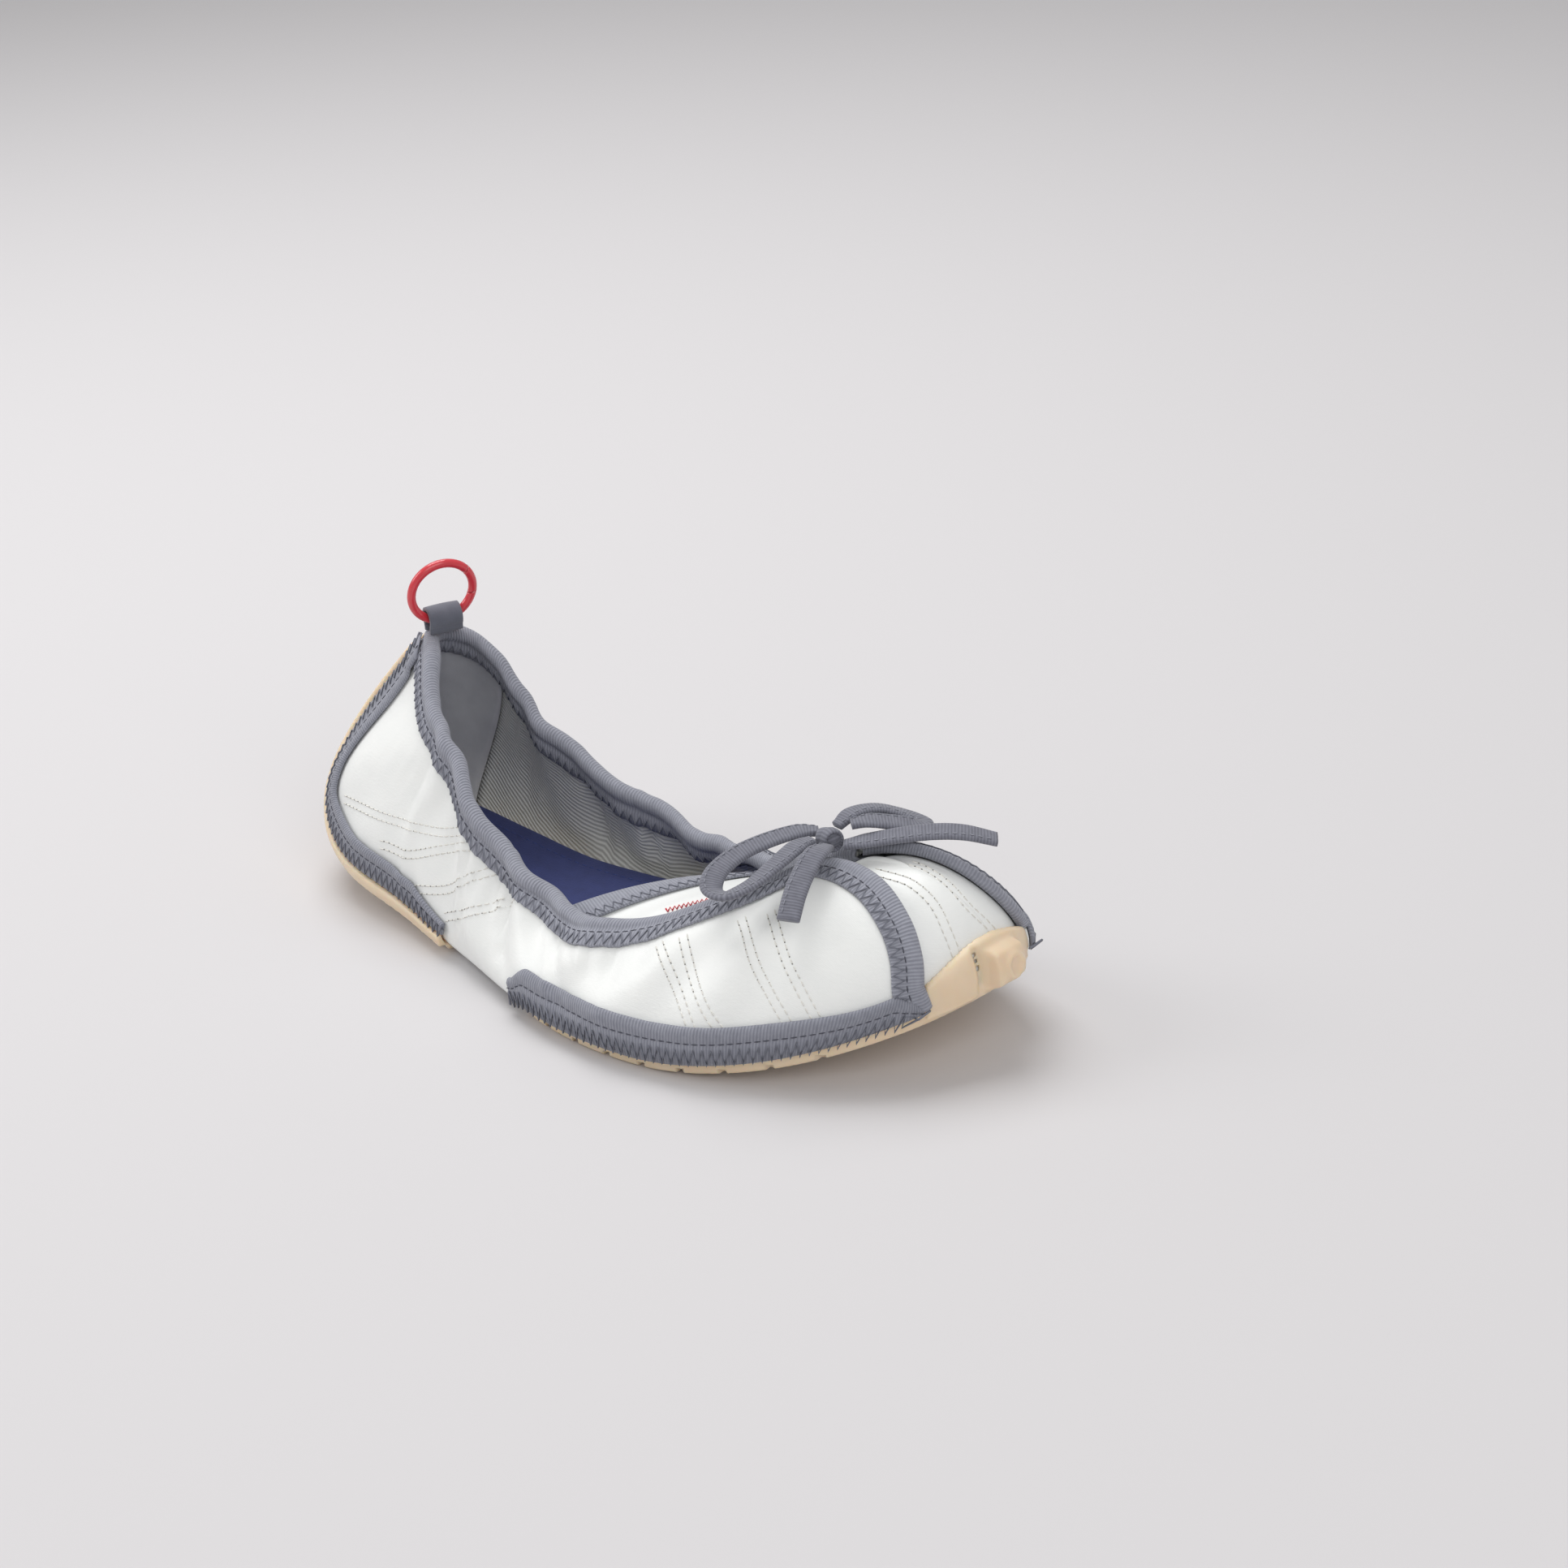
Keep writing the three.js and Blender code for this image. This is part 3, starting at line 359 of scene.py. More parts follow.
    def snapped(self, points: np.ndarray, t: np.ndarray, k: np.ndarray, d: float) -> np.ndarray:
        """Points brought back onto the surface d outside the form, starting from places near them.

        Args:
            points: the points to bring back.
            t: places near them.
            k: shares of the wall's length near them.
            d: distance outside the form, in mm.

        Returns:
            The points on the surface.
        """
        s = k * self.length_at(t)
        for _ in range(3):
            here = self.wall(t, s, d)
            by_t = (self.wall(t + 0.02, s, d) - here) / 0.02
            by_s = (self.wall(t, s + 0.2, d) - here) / 0.2
            gap = points - here
            tt, ts, ss = (by_t * by_t).sum(-1), (by_t * by_s).sum(-1), (by_s * by_s).sum(-1)
            gt, gs = (gap * by_t).sum(-1), (gap * by_s).sum(-1)
            size = tt * ss - ts * ts
            t = t + (gt * ss - gs * ts) / size
            s = s + (gs * tt - gt * ts) / size
        return self.wall(t, s, d)

    def outline(self, inset: float) -> np.ndarray:
        """The foot outline on the sole, moved inwards by inset."""
        return self.foot - self.out * inset

    def sides(self, x: np.ndarray, inset: float) -> tuple[np.ndarray, np.ndarray]:
        """The outline's outer and inner y at each distance x from the heel.

        Args:
            x: distances from the heel, in mm.
            inset: how far the outline is moved inwards.

        Returns:
            The y of each side.
        """
        line = self.outline(inset)
        closed = np.vstack([line, line[:1]])
        right, left = [], []
        for at in np.atleast_1d(x):
            a, b = closed[:-1], closed[1:]
            hit = (a[:, 0] - at) * (b[:, 0] - at) <= 0
            k = (at - a[hit, 0]) / np.where(b[hit, 0] == a[hit, 0], 1e-9, b[hit, 0] - a[hit, 0])
            ys = mix(a[hit, 1], b[hit, 1], k)
            right.append(ys.min())
            left.append(ys.max())
        return np.array(right), np.array(left)


def on_side(side: Side, t: np.ndarray) -> np.ndarray:
    """Place t counted from the heel along the given side."""
    return TURNS - t if side is Side.MEDIAL else t


def trimmed(points: np.ndarray) -> np.ndarray:
    """Cloth cut level with the top of the sole.

    Args:
        points: points of the cloth, which are raised in place.

    Returns:
        The same points.
    """
    floor = SOLE + SEAM + spring(points[..., 0])
    points[..., 2] = np.maximum(points[..., 2], floor)
    return points


def evenly(form: Form, start: float, end: float, step: float) -> np.ndarray:
    """Places from start to end, step mm apart along the cloth edge.

    Args:
        form: the form of the foot.
        start: the first place.
        end: the last place.
        step: spacing in mm.

    Returns:
        The places.
    """
    dense = np.linspace(start, end, 2000)
    edge = form.wall(dense, form.length_at(dense), np.zeros_like(dense))
    run = np.concatenate([[0], np.cumsum(np.linalg.norm(np.diff(edge, axis=0), axis=1))])
    count = max(3, int(run[-1] / step))
    return np.interp(np.linspace(0, run[-1], count + 1), run, dense)


# ------------------------------------------------------------------ meshes
def origin_shift() -> np.ndarray:
    """Where the last's own origin lies in the frame, in mm, from the knot of the bow."""
    low, high = (np.array(corner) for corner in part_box("bow_knot"))
    return (low + high) / 2 / MM - np.array(BowSizes().knot)


def to_metres(points: np.ndarray) -> np.ndarray:
    """Points of the last brought into the frame."""
    return (np.asarray(points, float).reshape(-1, 3) + SHIFT) * MM


@dataclass
class Cloth:
    """A mesh under construction: points in mm, faces, and a UV map in units of 100 mm."""

    points: list[np.ndarray] = field(default_factory=list)
    faces: list[tuple[int, ...]] = field(default_factory=list)
    uv: list[np.ndarray] = field(default_factory=list)
    count: int = 0

    def add(self, points: np.ndarray, uv: np.ndarray) -> int:
        """Adds points and their UVs in mm, and returns the first point's number.

        Args:
            points: one row for each point.
            uv: one row for each point, in mm.

        Returns:
            The first point's number.
        """
        first = self.count
        self.points.append(np.asarray(points, float).reshape(-1, 3))
        self.uv.append(np.asarray(uv, float).reshape(-1, 2))
        self.count += len(self.points[-1])
        return first

    def grid(self, points: np.ndarray, uv: np.ndarray, wrap: bool = False) -> tuple[int, np.ndarray]:
        """Adds a grid of points with its quads.

        Args:
            points: rows by columns by 3.
            uv: rows by columns by 2, in mm.
            wrap: whether each row closes on itself.

        Returns:
            The first point's number and the grid of point numbers.
        """
        rows, columns = points.shape[:2]
        first = self.add(points, uv)
        ids = first + np.arange(rows * columns).reshape(rows, columns)
        right = np.roll(ids, -1, axis=1)
        last = columns if wrap else columns - 1
        quads = np.stack([ids[:-1, :last], right[:-1, :last], right[1:, :last], ids[1:, :last]], -1)
        self.faces.extend(map(tuple, quads.reshape(-1, 4).tolist()))
        return first, ids

    def shell(self, outer: np.ndarray, inner: np.ndarray, uv: np.ndarray) -> None:
        """Adds a sheet with thickness: its outer face, its inner face and its four edges.

        Args:
            outer: grid of points of the outer face.
            inner: the same grid on the inner face.
            uv: one value pair for each point.
        """
        _, a = self.grid(outer, uv)
        _, b = self.grid(inner[:, ::-1], uv[:, ::-1])
        b = b[:, ::-1]
        rims = [(a[0], b[0]), (b[-1], a[-1]), (b[:, 0], a[:, 0]), (a[:, -1], b[:, -1])]
        for top, bottom in rims:
            for i in range(len(top) - 1):
                self.faces.append((int(top[i + 1]), int(top[i]), int(bottom[i]), int(bottom[i + 1])))

    def tube(self, rings: np.ndarray, uv: np.ndarray) -> None:
        """Adds a row of closed rings with a cap at each end.

        Args:
            rings: points of each ring.
            uv: one value pair for each point.
        """
        _, ids = self.grid(rings, uv, wrap=True)
        self.faces.append(tuple(ids[0][::-1].tolist()))
        self.faces.append(tuple(ids[-1].tolist()))

    def build(self, name: str, material: bpy.types.Material, flat: bool = False) -> bpy.types.Object:
        """Makes the object, with its faces pointing out.

        Args:
            name: the piece's name.
            material: its finish.
            flat: whether its faces stay flat-shaded.

        Returns:
            The object, at the origin.
        """
        mesh = bpy.data.meshes.new(name)
        mesh.from_pydata(to_metres(np.vstack(self.points)).tolist(), [], self.faces)
        corners = np.empty(len(mesh.loops), int)
        mesh.loops.foreach_get("vertex_index", corners)
        layer = mesh.uv_layers.new(name="Along")
        layer.data.foreach_set("uv", (np.vstack(self.uv)[corners] / 100).ravel())
        return finished(name, mesh, material, flat)


def finished(name: str, mesh: bpy.types.Mesh, material: bpy.types.Material,
             flat: bool = False) -> bpy.types.Object:
    """An object for a mesh: doubles merged, faces out, dressed in its material.

    Args:
        name: name of the piece.
        mesh: its faces.
        material: its finish.
        flat: whether its faces keep flat shading.

    Returns:
        The piece.
    """
    work = bmesh.new()
    work.from_mesh(mesh)
    bmesh.ops.remove_doubles(work, verts=work.verts, dist=1e-6)
    bmesh.ops.dissolve_degenerate(work, edges=work.edges, dist=1e-7)
    bmesh.ops.recalc_face_normals(work, faces=work.faces)
    work.to_mesh(mesh)
    work.free()
    mesh.polygons.foreach_set("use_smooth", [not flat] * len(mesh.polygons))
    mesh.materials.clear()
    mesh.materials.append(material)
    piece = bpy.data.objects.new(name, mesh)
    bpy.context.scene.collection.objects.link(piece)
    return piece


def applied(piece: bpy.types.Object) -> bpy.types.Object:
    """Turns a piece and its modifiers into a plain mesh at the same name.

    Args:
        piece: an object with modifiers.

    Returns:
        The plain object.
    """
    graph = bpy.context.evaluated_depsgraph_get()
    mesh = bpy.data.meshes.new_from_object(piece.evaluated_get(graph), depsgraph=graph)
    piece.modifiers.clear()
    old, piece.data = piece.data, mesh
    bpy.data.meshes.remove(old)
    return piece


def place(piece: bpy.types.Object, held: Held, slot: str, nodes: tuple[str, ...] = ()) -> bpy.types.Object:
    """Ties a piece to the frame.

    Args:
        piece: the finished piece.
        held: what it moves with.
        slot: the record's material slot; not used.
        nodes: the CAD nodes it stands for.

    Returns:
        The piece.
    """
    if held is Held.ARCH:
        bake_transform(piece)
    else:
        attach(piece, held.value)
    if nodes:
        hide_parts(*nodes)
    LOG.info("%s: %d faces, held by %s", piece.name, len(piece.data.polygons), held.value)
    return piece


# ------------------------------------------------------------------ stitches
def tree_node(tree: bpy.types.NodeTree, kind: str, settings: dict | None = None,
              **links: object) -> bpy.types.Node:
    """Adds a node to a tree.

    Args:
        tree: the node tree.
        kind: the node's type.
        settings: its own properties.
        **links: input name (spaces as _) to a socket to link from or a value to set.

    Returns:
        The node.
    """
    made = tree.nodes.new(kind)
    for key, value in (settings or {}).items():
        setattr(made, key, value)
    for key, value in links.items():
        numbered = key[0] == "i" and key[1:].isdigit()
        socket = made.inputs[int(key[1:]) if numbered else key.replace("_", " ")]
        if isinstance(value, bpy.types.NodeSocket):
            tree.links.new(value, socket)
        else:
            socket.default_value = value
    return made


class StitchKind(Enum):
    """The two stitches on the slipper."""

    ZIGZAG = "Zigzag stitching"
    RUNNING = "Running stitching"


class StitchTree:
    """A Geometry Nodes tree that lays thread along polylines."""

    INPUTS = (("Pitch", 0.002), ("Width", 0.004), ("Thread", 0.0002))

    def __init__(self, kind: StitchKind) -> None:
        """Builds the tree of one kind of stitch.

        Args:
            kind: which stitch it makes.
        """
        self.kind = kind
        self.tree = bpy.data.node_groups.new(kind.value, "GeometryNodeTree")
        face = self.tree.interface
        face.new_socket("Path", in_out="INPUT", socket_type="NodeSocketGeometry")
        for name, value in self.INPUTS:
            socket = face.new_socket(name, in_out="INPUT", socket_type="NodeSocketFloat")
            socket.default_value = value
        face.new_socket("Yarn", in_out="INPUT", socket_type="NodeSocketMaterial")
        face.new_socket("Thread", in_out="OUTPUT", socket_type="NodeSocketGeometry")
        self.into = tree_node(self.tree, "NodeGroupInput").outputs
        curve = tree_node(self.tree, "GeometryNodeMeshToCurve", Mesh=self.into["Path"]).outputs["Curve"]
        laid = self._zigzag(curve) if kind is StitchKind.ZIGZAG else self._running(curve)
        real = tree_node(self.tree, "GeometryNodeRealizeInstances", Geometry=laid)
        dressed = tree_node(self.tree, "GeometryNodeSetMaterial", Geometry=real.outputs[0],
                            Material=self.into["Yarn"])
        tree_node(self.tree, "NodeGroupOutput", Thread=dressed.outputs[0])

    def _math(self, operation: str, a: "bpy.types.NodeSocket | float",
              b: "bpy.types.NodeSocket | float") -> bpy.types.NodeSocket:
        """One arithmetic node's result."""
        return tree_node(self.tree, "ShaderNodeMath", {"operation": operation}, i0=a, i1=b).outputs[0]

    def _zigzag(self, curve: bpy.types.NodeSocket) -> bpy.types.NodeSocket:
        """Thread that swings from side to side across the path.

        Args:
            curve: the path.

        Returns:
            The thread's curve.
        """
        half = self._math("MULTIPLY", self.into["Pitch"], 0.5)
        points = tree_node(self.tree, "GeometryNodeResampleCurve", {"mode": "LENGTH"}, Curve=curve,
                           Length=half)
        turn = self._math("MODULO", tree_node(self.tree, "GeometryNodeInputIndex").outputs[0], 2.0)
        swing = self._math("SUBTRACT", turn, 0.5)
        reach = self._math("MULTIPLY", swing, self.into["Width"])
        across = tree_node(self.tree, "GeometryNodeInputNamedAttribute", {"data_type": "FLOAT_VECTOR"},
                           Name="across").outputs["Attribute"]
        moved = tree_node(self.tree, "ShaderNodeVectorMath", {"operation": "SCALE"}, i0=across, Scale=reach)
        offset = tree_node(self.tree, "GeometryNodeSetPosition", Geometry=points.outputs[0],
                           Offset=moved.outputs["Vector"])
        round_ = tree_node(self.tree, "GeometryNodeCurvePrimitiveCircle", Resolution=5,
                           Radius=self.into["Thread"])
        return tree_node(self.tree, "GeometryNodeCurveToMesh", Curve=offset.outputs[0],
                         Profile_Curve=round_.outputs[0], Fill_Caps=True).outputs[0]

    def _running(self, curve: bpy.types.NodeSocket) -> bpy.types.NodeSocket:
        """Short separate stitches along the path.

        Args:
            curve: the path.

        Returns:
            The thread's curve.
        """
        points = tree_node(self.tree, "GeometryNodeResampleCurve", {"mode": "LENGTH"}, Curve=curve,
                           Length=self.into["Pitch"])
        grain = tree_node(self.tree, "GeometryNodeMeshUVSphere", Segments=8, Rings=5, Radius=1.0)
        tangent = tree_node(self.tree, "GeometryNodeInputTangent").outputs[0]
        turn = tree_node(self.tree, "FunctionNodeAlignRotationToVector", {"axis": "X"}, Vector=tangent)
        half = self._math("MULTIPLY", self.into["Width"], 0.5)
        size = tree_node(self.tree, "ShaderNodeCombineXYZ", X=half, Y=self.into["Thread"],
                         Z=self.into["Thread"])
        return tree_node(self.tree, "GeometryNodeInstanceOnPoints", Points=points.outputs[0],
                         Instance=grain.outputs[0], Rotation=turn.outputs[0],
                         Scale=size.outputs[0]).outputs[0]

    def lay(self, name: str, paths: list[np.ndarray], across: list[np.ndarray], pitch: float,
            width: float, thread: float, yarn: bpy.types.Material) -> bpy.types.Object:
        """Stitches along paths.

        Args:
            name: the piece's name.
            paths: polylines in mm.
            across: for each path, the direction across it at each point.
            pitch: distance between stitches, in mm.
            width: swing of a zigzag or length of a running stitch, in mm.
            thread: the thread's radius, in mm.
            yarn: its material.

        Returns:
            The stitches as one plain mesh.
        """
        mesh = bpy.data.meshes.new(name)
        edges, first = [], 0
        for path in paths:
            edges += [(first + i, first + i + 1) for i in range(len(path) - 1)]
            first += len(path)
        mesh.from_pydata(to_metres(np.vstack(paths)).tolist(), edges, [])
        vectors = mesh.attributes.new("across", "FLOAT_VECTOR", "POINT")
        vectors.data.foreach_set("vector", unit(np.vstack(across)).ravel())
        piece = bpy.data.objects.new(name, mesh)
        bpy.context.scene.collection.objects.link(piece)
        maker = piece.modifiers.new(self.kind.value, "NODES")
        maker.node_group = self.tree
        values = {"Pitch": pitch * MM, "Width": width * MM, "Thread": thread * MM, "Yarn": yarn}
        for item in self.tree.interface.items_tree:
            if item.in_out == "INPUT" and item.name in values:
                maker[item.identifier] = values[item.name]
        applied(piece)
        mesh = piece.data
        mesh.polygons.foreach_set("use_smooth", [True] * len(mesh.polygons))
        if not mesh.materials:
            mesh.materials.append(yarn)
        return piece


# ------------------------------------------------------------------ finishes
def linear(colour: str) -> tuple[float, float, float, float]:
    """An sRGB hex colour as linear values."""
    values = [int(colour[i:i + 2], 16) / 255 for i in (1, 3, 5)]
    return (*[v / 12.92 if v <= 0.04045 else ((v + 0.055) / 1.055)**2.4 for v in values], 1.0)


@dataclass(frozen=True)
class Finish:
    """What every finish shares: its colour, its shade, and its shine. The shade is painted shade between the
    ribs of the ribbed tapes and the twill, and a darker tone that varies at random on the other finishes.
    """

    name: str
    colour: str
    shade: str
    roughness: float
    sheen: float = 0.0

    def start(self) -> tuple[bpy.types.Material, bpy.types.NodeTree, bpy.types.Node]:
        """A new material with its constant values set on the shader.

        Returns:
            The material, its node tree and its shader.
        """
        material = bpy.data.materials.new(self.name)
        material.use_nodes = True
        tree = material.node_tree
        shader = tree.nodes["Principled BSDF"]
        shader.inputs["Roughness"].default_value = self.roughness
        shader.inputs["Sheen Weight"].default_value = self.sheen
        shader.inputs["Base Color"].default_value = linear(self.colour)
        return material, tree, shader

    def paint(self, tree: bpy.types.NodeTree, shader: bpy.types.Node, factor: bpy.types.NodeSocket) -> None:
        """Colours the surface between shade (factor 0) and colour (factor 1).

        Args:
            tree: the node tree to add to.
            shader: the shader to colour.
            factor: the share of colour.
        """
        blend = tree_node(tree, "ShaderNodeMix", {"data_type": "RGBA"}, i0=factor)
        blend.inputs[6].default_value = linear(self.shade)
        blend.inputs[7].default_value = linear(self.colour)
        tree.links.new(blend.outputs[2], shader.inputs["Base Color"])


def waves(tree: bpy.types.NodeTree, value: bpy.types.NodeSocket, pitch_mm: float) -> bpy.types.NodeSocket:
    """A ridge pattern from 0 to 1 along a UV value, in which 1 is 100 mm.

    Args:
        tree: the node tree to add to.
        value: one value of the UV map.
        pitch_mm: distance from ridge to ridge.

    Returns:
        The height of the ridges.
    """
    turned = tree_node(tree, "ShaderNodeMath", {"operation": "MULTIPLY"}, i0=value,
                       i1=2 * math.pi * 100 / pitch_mm).outputs[0]
    sine = tree_node(tree, "ShaderNodeMath", {"operation": "SINE"}, i0=turned).outputs[0]
    return tree_node(tree, "ShaderNodeMapRange", Value=sine, From_Min=-1.0, From_Max=1.0).outputs[0]


def noise(tree: bpy.types.NodeTree, size_mm: float, detail: float = 3.0,
          stretch: tuple[float, float, float] = (1, 1, 1)) -> bpy.types.NodeSocket:
    """Soft noise on object coordinates, its blotches about size_mm across.

    Args:
        tree: the node tree to add to.
        size_mm: size of a blotch.
        detail: octaves of finer noise.
        stretch: scale along each axis.

    Returns:
        The noise value.
    """
    place_ = tree_node(tree, "ShaderNodeTexCoord").outputs["Object"]
    moved = tree_node(tree, "ShaderNodeMapping", Vector=place_, Scale=stretch).outputs[0]
    return tree_node(tree, "ShaderNodeTexNoise", Vector=moved, Scale=1 / (size_mm * MM),
                     Detail=detail).outputs["Fac"]


def bump(tree: bpy.types.NodeTree, shader: bpy.types.Node, layers: list[tuple], ) -> None:
    """Chains bumps into the shader's normal.

    Args:
        tree: the node tree.
        shader: the shader.
        layers: (height socket, depth in mm, strength) for each.
    """
    normal = None
    for height, depth, strength in layers:
        made = tree_node(tree, "ShaderNodeBump", Height=height, Distance=depth * MM, Strength=strength)
        if normal is not None:
            tree.links.new(normal, made.inputs["Normal"])
        normal = made.outputs[0]
    tree.links.new(normal, shader.inputs["Normal"])


def uv_axes(tree: bpy.types.NodeTree) -> tuple[bpy.types.NodeSocket, bpy.types.NodeSocket]:
    """The piece's UV map as its two values.

    Args:
        tree: the node tree to add to.

    Returns:
        The two values of the UV map.
    """
    uv = tree_node(tree, "ShaderNodeTexCoord").outputs["UV"]
    parts = tree_node(tree, "ShaderNodeSeparateXYZ", Vector=uv)
    return parts.outputs[0], parts.outputs[1]


@dataclass(frozen=True)
class Satin(Finish):
    """Polyester duchess satin: a smooth float weave with a broad soft shine and fine cross lines."""

    thread_mm: float = 0.5

    def make(self) -> bpy.types.Material:
        """The material.

        Returns:
            The material.
        """
        material, tree, shader = self.start()
        shader.inputs["Specular IOR Level"].default_value = 0.55
        shader.inputs["Anisotropic"].default_value = 0.35
        shader.inputs["Subsurface Weight"].default_value = 0.06
        shader.inputs["Subsurface Radius"].default_value = (0.002, 0.002, 0.002)
        _, v = uv_axes(tree)
        slub = noise(tree, 9.0, 4.0, (1, 1, 1.6))
        self.paint(tree, shader, slub)
        tone = tree_node(tree, "ShaderNodeMapRange", Value=noise(tree, 14.0, 2.0), To_Min=self.roughness
                         - 0.08,
                         To_Max=self.roughness + 0.08)
        tree.links.new(tone.outputs[0], shader.inputs["Roughness"])
        bump(tree, shader, [(waves(tree, v, self.thread_mm), 0.03, 0.25),
                            (noise(tree, 7.0, 3.0, (1, 1, 0.5)), 0.9, 0.16),
                            (noise(tree, 1.3, 3.0, (1, 1, 2.2)), 0.16, 0.38)])
        return material


@dataclass(frozen=True)
class RibbedTape(Finish):
    """Elastic rib binding: matte nylon whose ribs run across the tape, with painted shade darkening the
    colour between them.
    """

    rib_mm: float = 1.15
    depth_mm: float = 0.22

    def make(self) -> bpy.types.Material:
        """The material.

        Returns:
            The material.
        """
        material, tree, shader = self.start()
        u, _ = uv_axes(tree)
        wobble = tree_node(tree, "ShaderNodeMath", {"operation": "MULTIPLY_ADD"}, i0=noise(tree, 6.0, 1.0),
                           i1=0.0035, i2=u).outputs[0]
        ribs = waves(tree, wobble, self.rib_mm)
        worn = tree_node(tree, "ShaderNodeMath", {"operation": "MULTIPLY_ADD"}, i0=noise(tree, 2.0, 4.0),
                         i1=0.6, i2=0.05).outputs[0]
        # Painted shade: the colour darkens between the ribs, mixed with a darker tone that varies at random.
        both = tree_node(tree, "ShaderNodeMath", {"operation": "MULTIPLY_ADD"}, i0=ribs, i1=0.45,
                         i2=worn).outputs[0]
        self.paint(tree, shader, both)
        bump(tree, shader, [(ribs, self.depth_mm, 0.75), (noise(tree, 0.7, 2.0), 0.12, 0.4)])
        return material


@dataclass(frozen=True)
class Twill(Finish):
    """Brushed cotton twill lining: fine raised lines along the shoe, a little uneven, with painted shade
    darkening the colour between them.
    """

    rib_mm: float = 1.5

    def make(self) -> bpy.types.Material:
        """The material.

        Returns:
            The material.
        """
        material, tree, shader = self.start()
        _, v = uv_axes(tree)
        drift = tree_node(tree, "ShaderNodeMath", {"operation": "MULTIPLY_ADD"}, i0=noise(tree, 18.0, 2.0),
                          i1=0.03, i2=v).outputs[0]
        lines = waves(tree, drift, self.rib_mm)
        # Painted shade: the colour darkens in the grooves between the lines.
        self.paint(tree, shader, tree_node(tree, "ShaderNodeMath", {"operation": "MULTIPLY_ADD"}, i0=lines,
                                           i1=0.5, i2=0.35).outputs[0])
        bump(tree, shader, [(lines, 0.3, 0.6), (noise(tree, 11.0, 2.0), 1.6, 0.25)])
        return material


@dataclass(frozen=True)
class Napped(Finish):
    """Napped or plain-woven cloth: a soft even surface with fine fibres."""

    fibre_mm: float = 0.6
    relief: float = 0.12

    def make(self) -> bpy.types.Material:
        """The material.

        Returns:
            The material.
        """
        material, tree, shader = self.start()
        shader.inputs["Sheen Roughness"].default_value = 0.6
        self.paint(tree, shader, noise(tree, 5.0, 5.0))
        bump(tree, shader, [(noise(tree, self.fibre_mm, 3.0), self.relief, 0.6),
                            (noise(tree, 12.0, 2.0), 0.8, 0.15)])
        return material


@dataclass(frozen=True)
class GumRubber(Finish):
    """Moulded natural gum rubber: waxy, a little cloudy, light passing through its thin edges."""

    def make(self) -> bpy.types.Material:
        """The material.

        Returns:
            The material.
        """
        material, tree, shader = self.start()
        shader.inputs["Subsurface Weight"].default_value = 0.45
        shader.inputs["Subsurface Radius"].default_value = (0.006, 0.0035, 0.0018)
        shader.inputs["Subsurface Scale"].default_value = 0.6
        self.paint(tree, shader, noise(tree, 16.0, 3.0))
        tone = tree_node(tree, "ShaderNodeMapRange", Value=noise(tree, 4.0, 3.0), To_Min=self.roughness
                         - 0.07,
                         To_Max=self.roughness + 0.09)
        tree.links.new(tone.outputs[0], shader.inputs["Roughness"])
        bump(tree, shader, [(noise(tree, 0.9, 2.0), 0.06, 0.3), (noise(tree, 10.0, 1.0), 0.4, 0.2)])
        return material


@dataclass(frozen=True)
class Enamel(Finish):
    """Baked enamel on steel wire: saturated, glossy, with a faint orange-peel."""

    def make(self) -> bpy.types.Material:
        """The material.

        Returns:
            The material.
        """
        material, tree, shader = self.start()
        shader.inputs["Coat Weight"].default_value = 0.6
        shader.inputs["Coat Roughness"].default_value = 0.12
        self.paint(tree, shader, noise(tree, 5.0, 2.0))
        bump(tree, shader, [(noise(tree, 1.2, 1.0), 0.04, 0.2)])
        return material


@dataclass(frozen=True)
class Yarn(Finish):
    """Spun polyester sewing thread: matte, two plies twisted round each other."""

    def make(self) -> bpy.types.Material:
        """The material.

        Returns:
            The material.
        """
        material, tree, shader = self.start()
        self.paint(tree, shader, noise(tree, 1.2, 2.0))
        bump(tree, shader, [(noise(tree, 0.35, 1.0), 0.06, 0.5)])
        return material


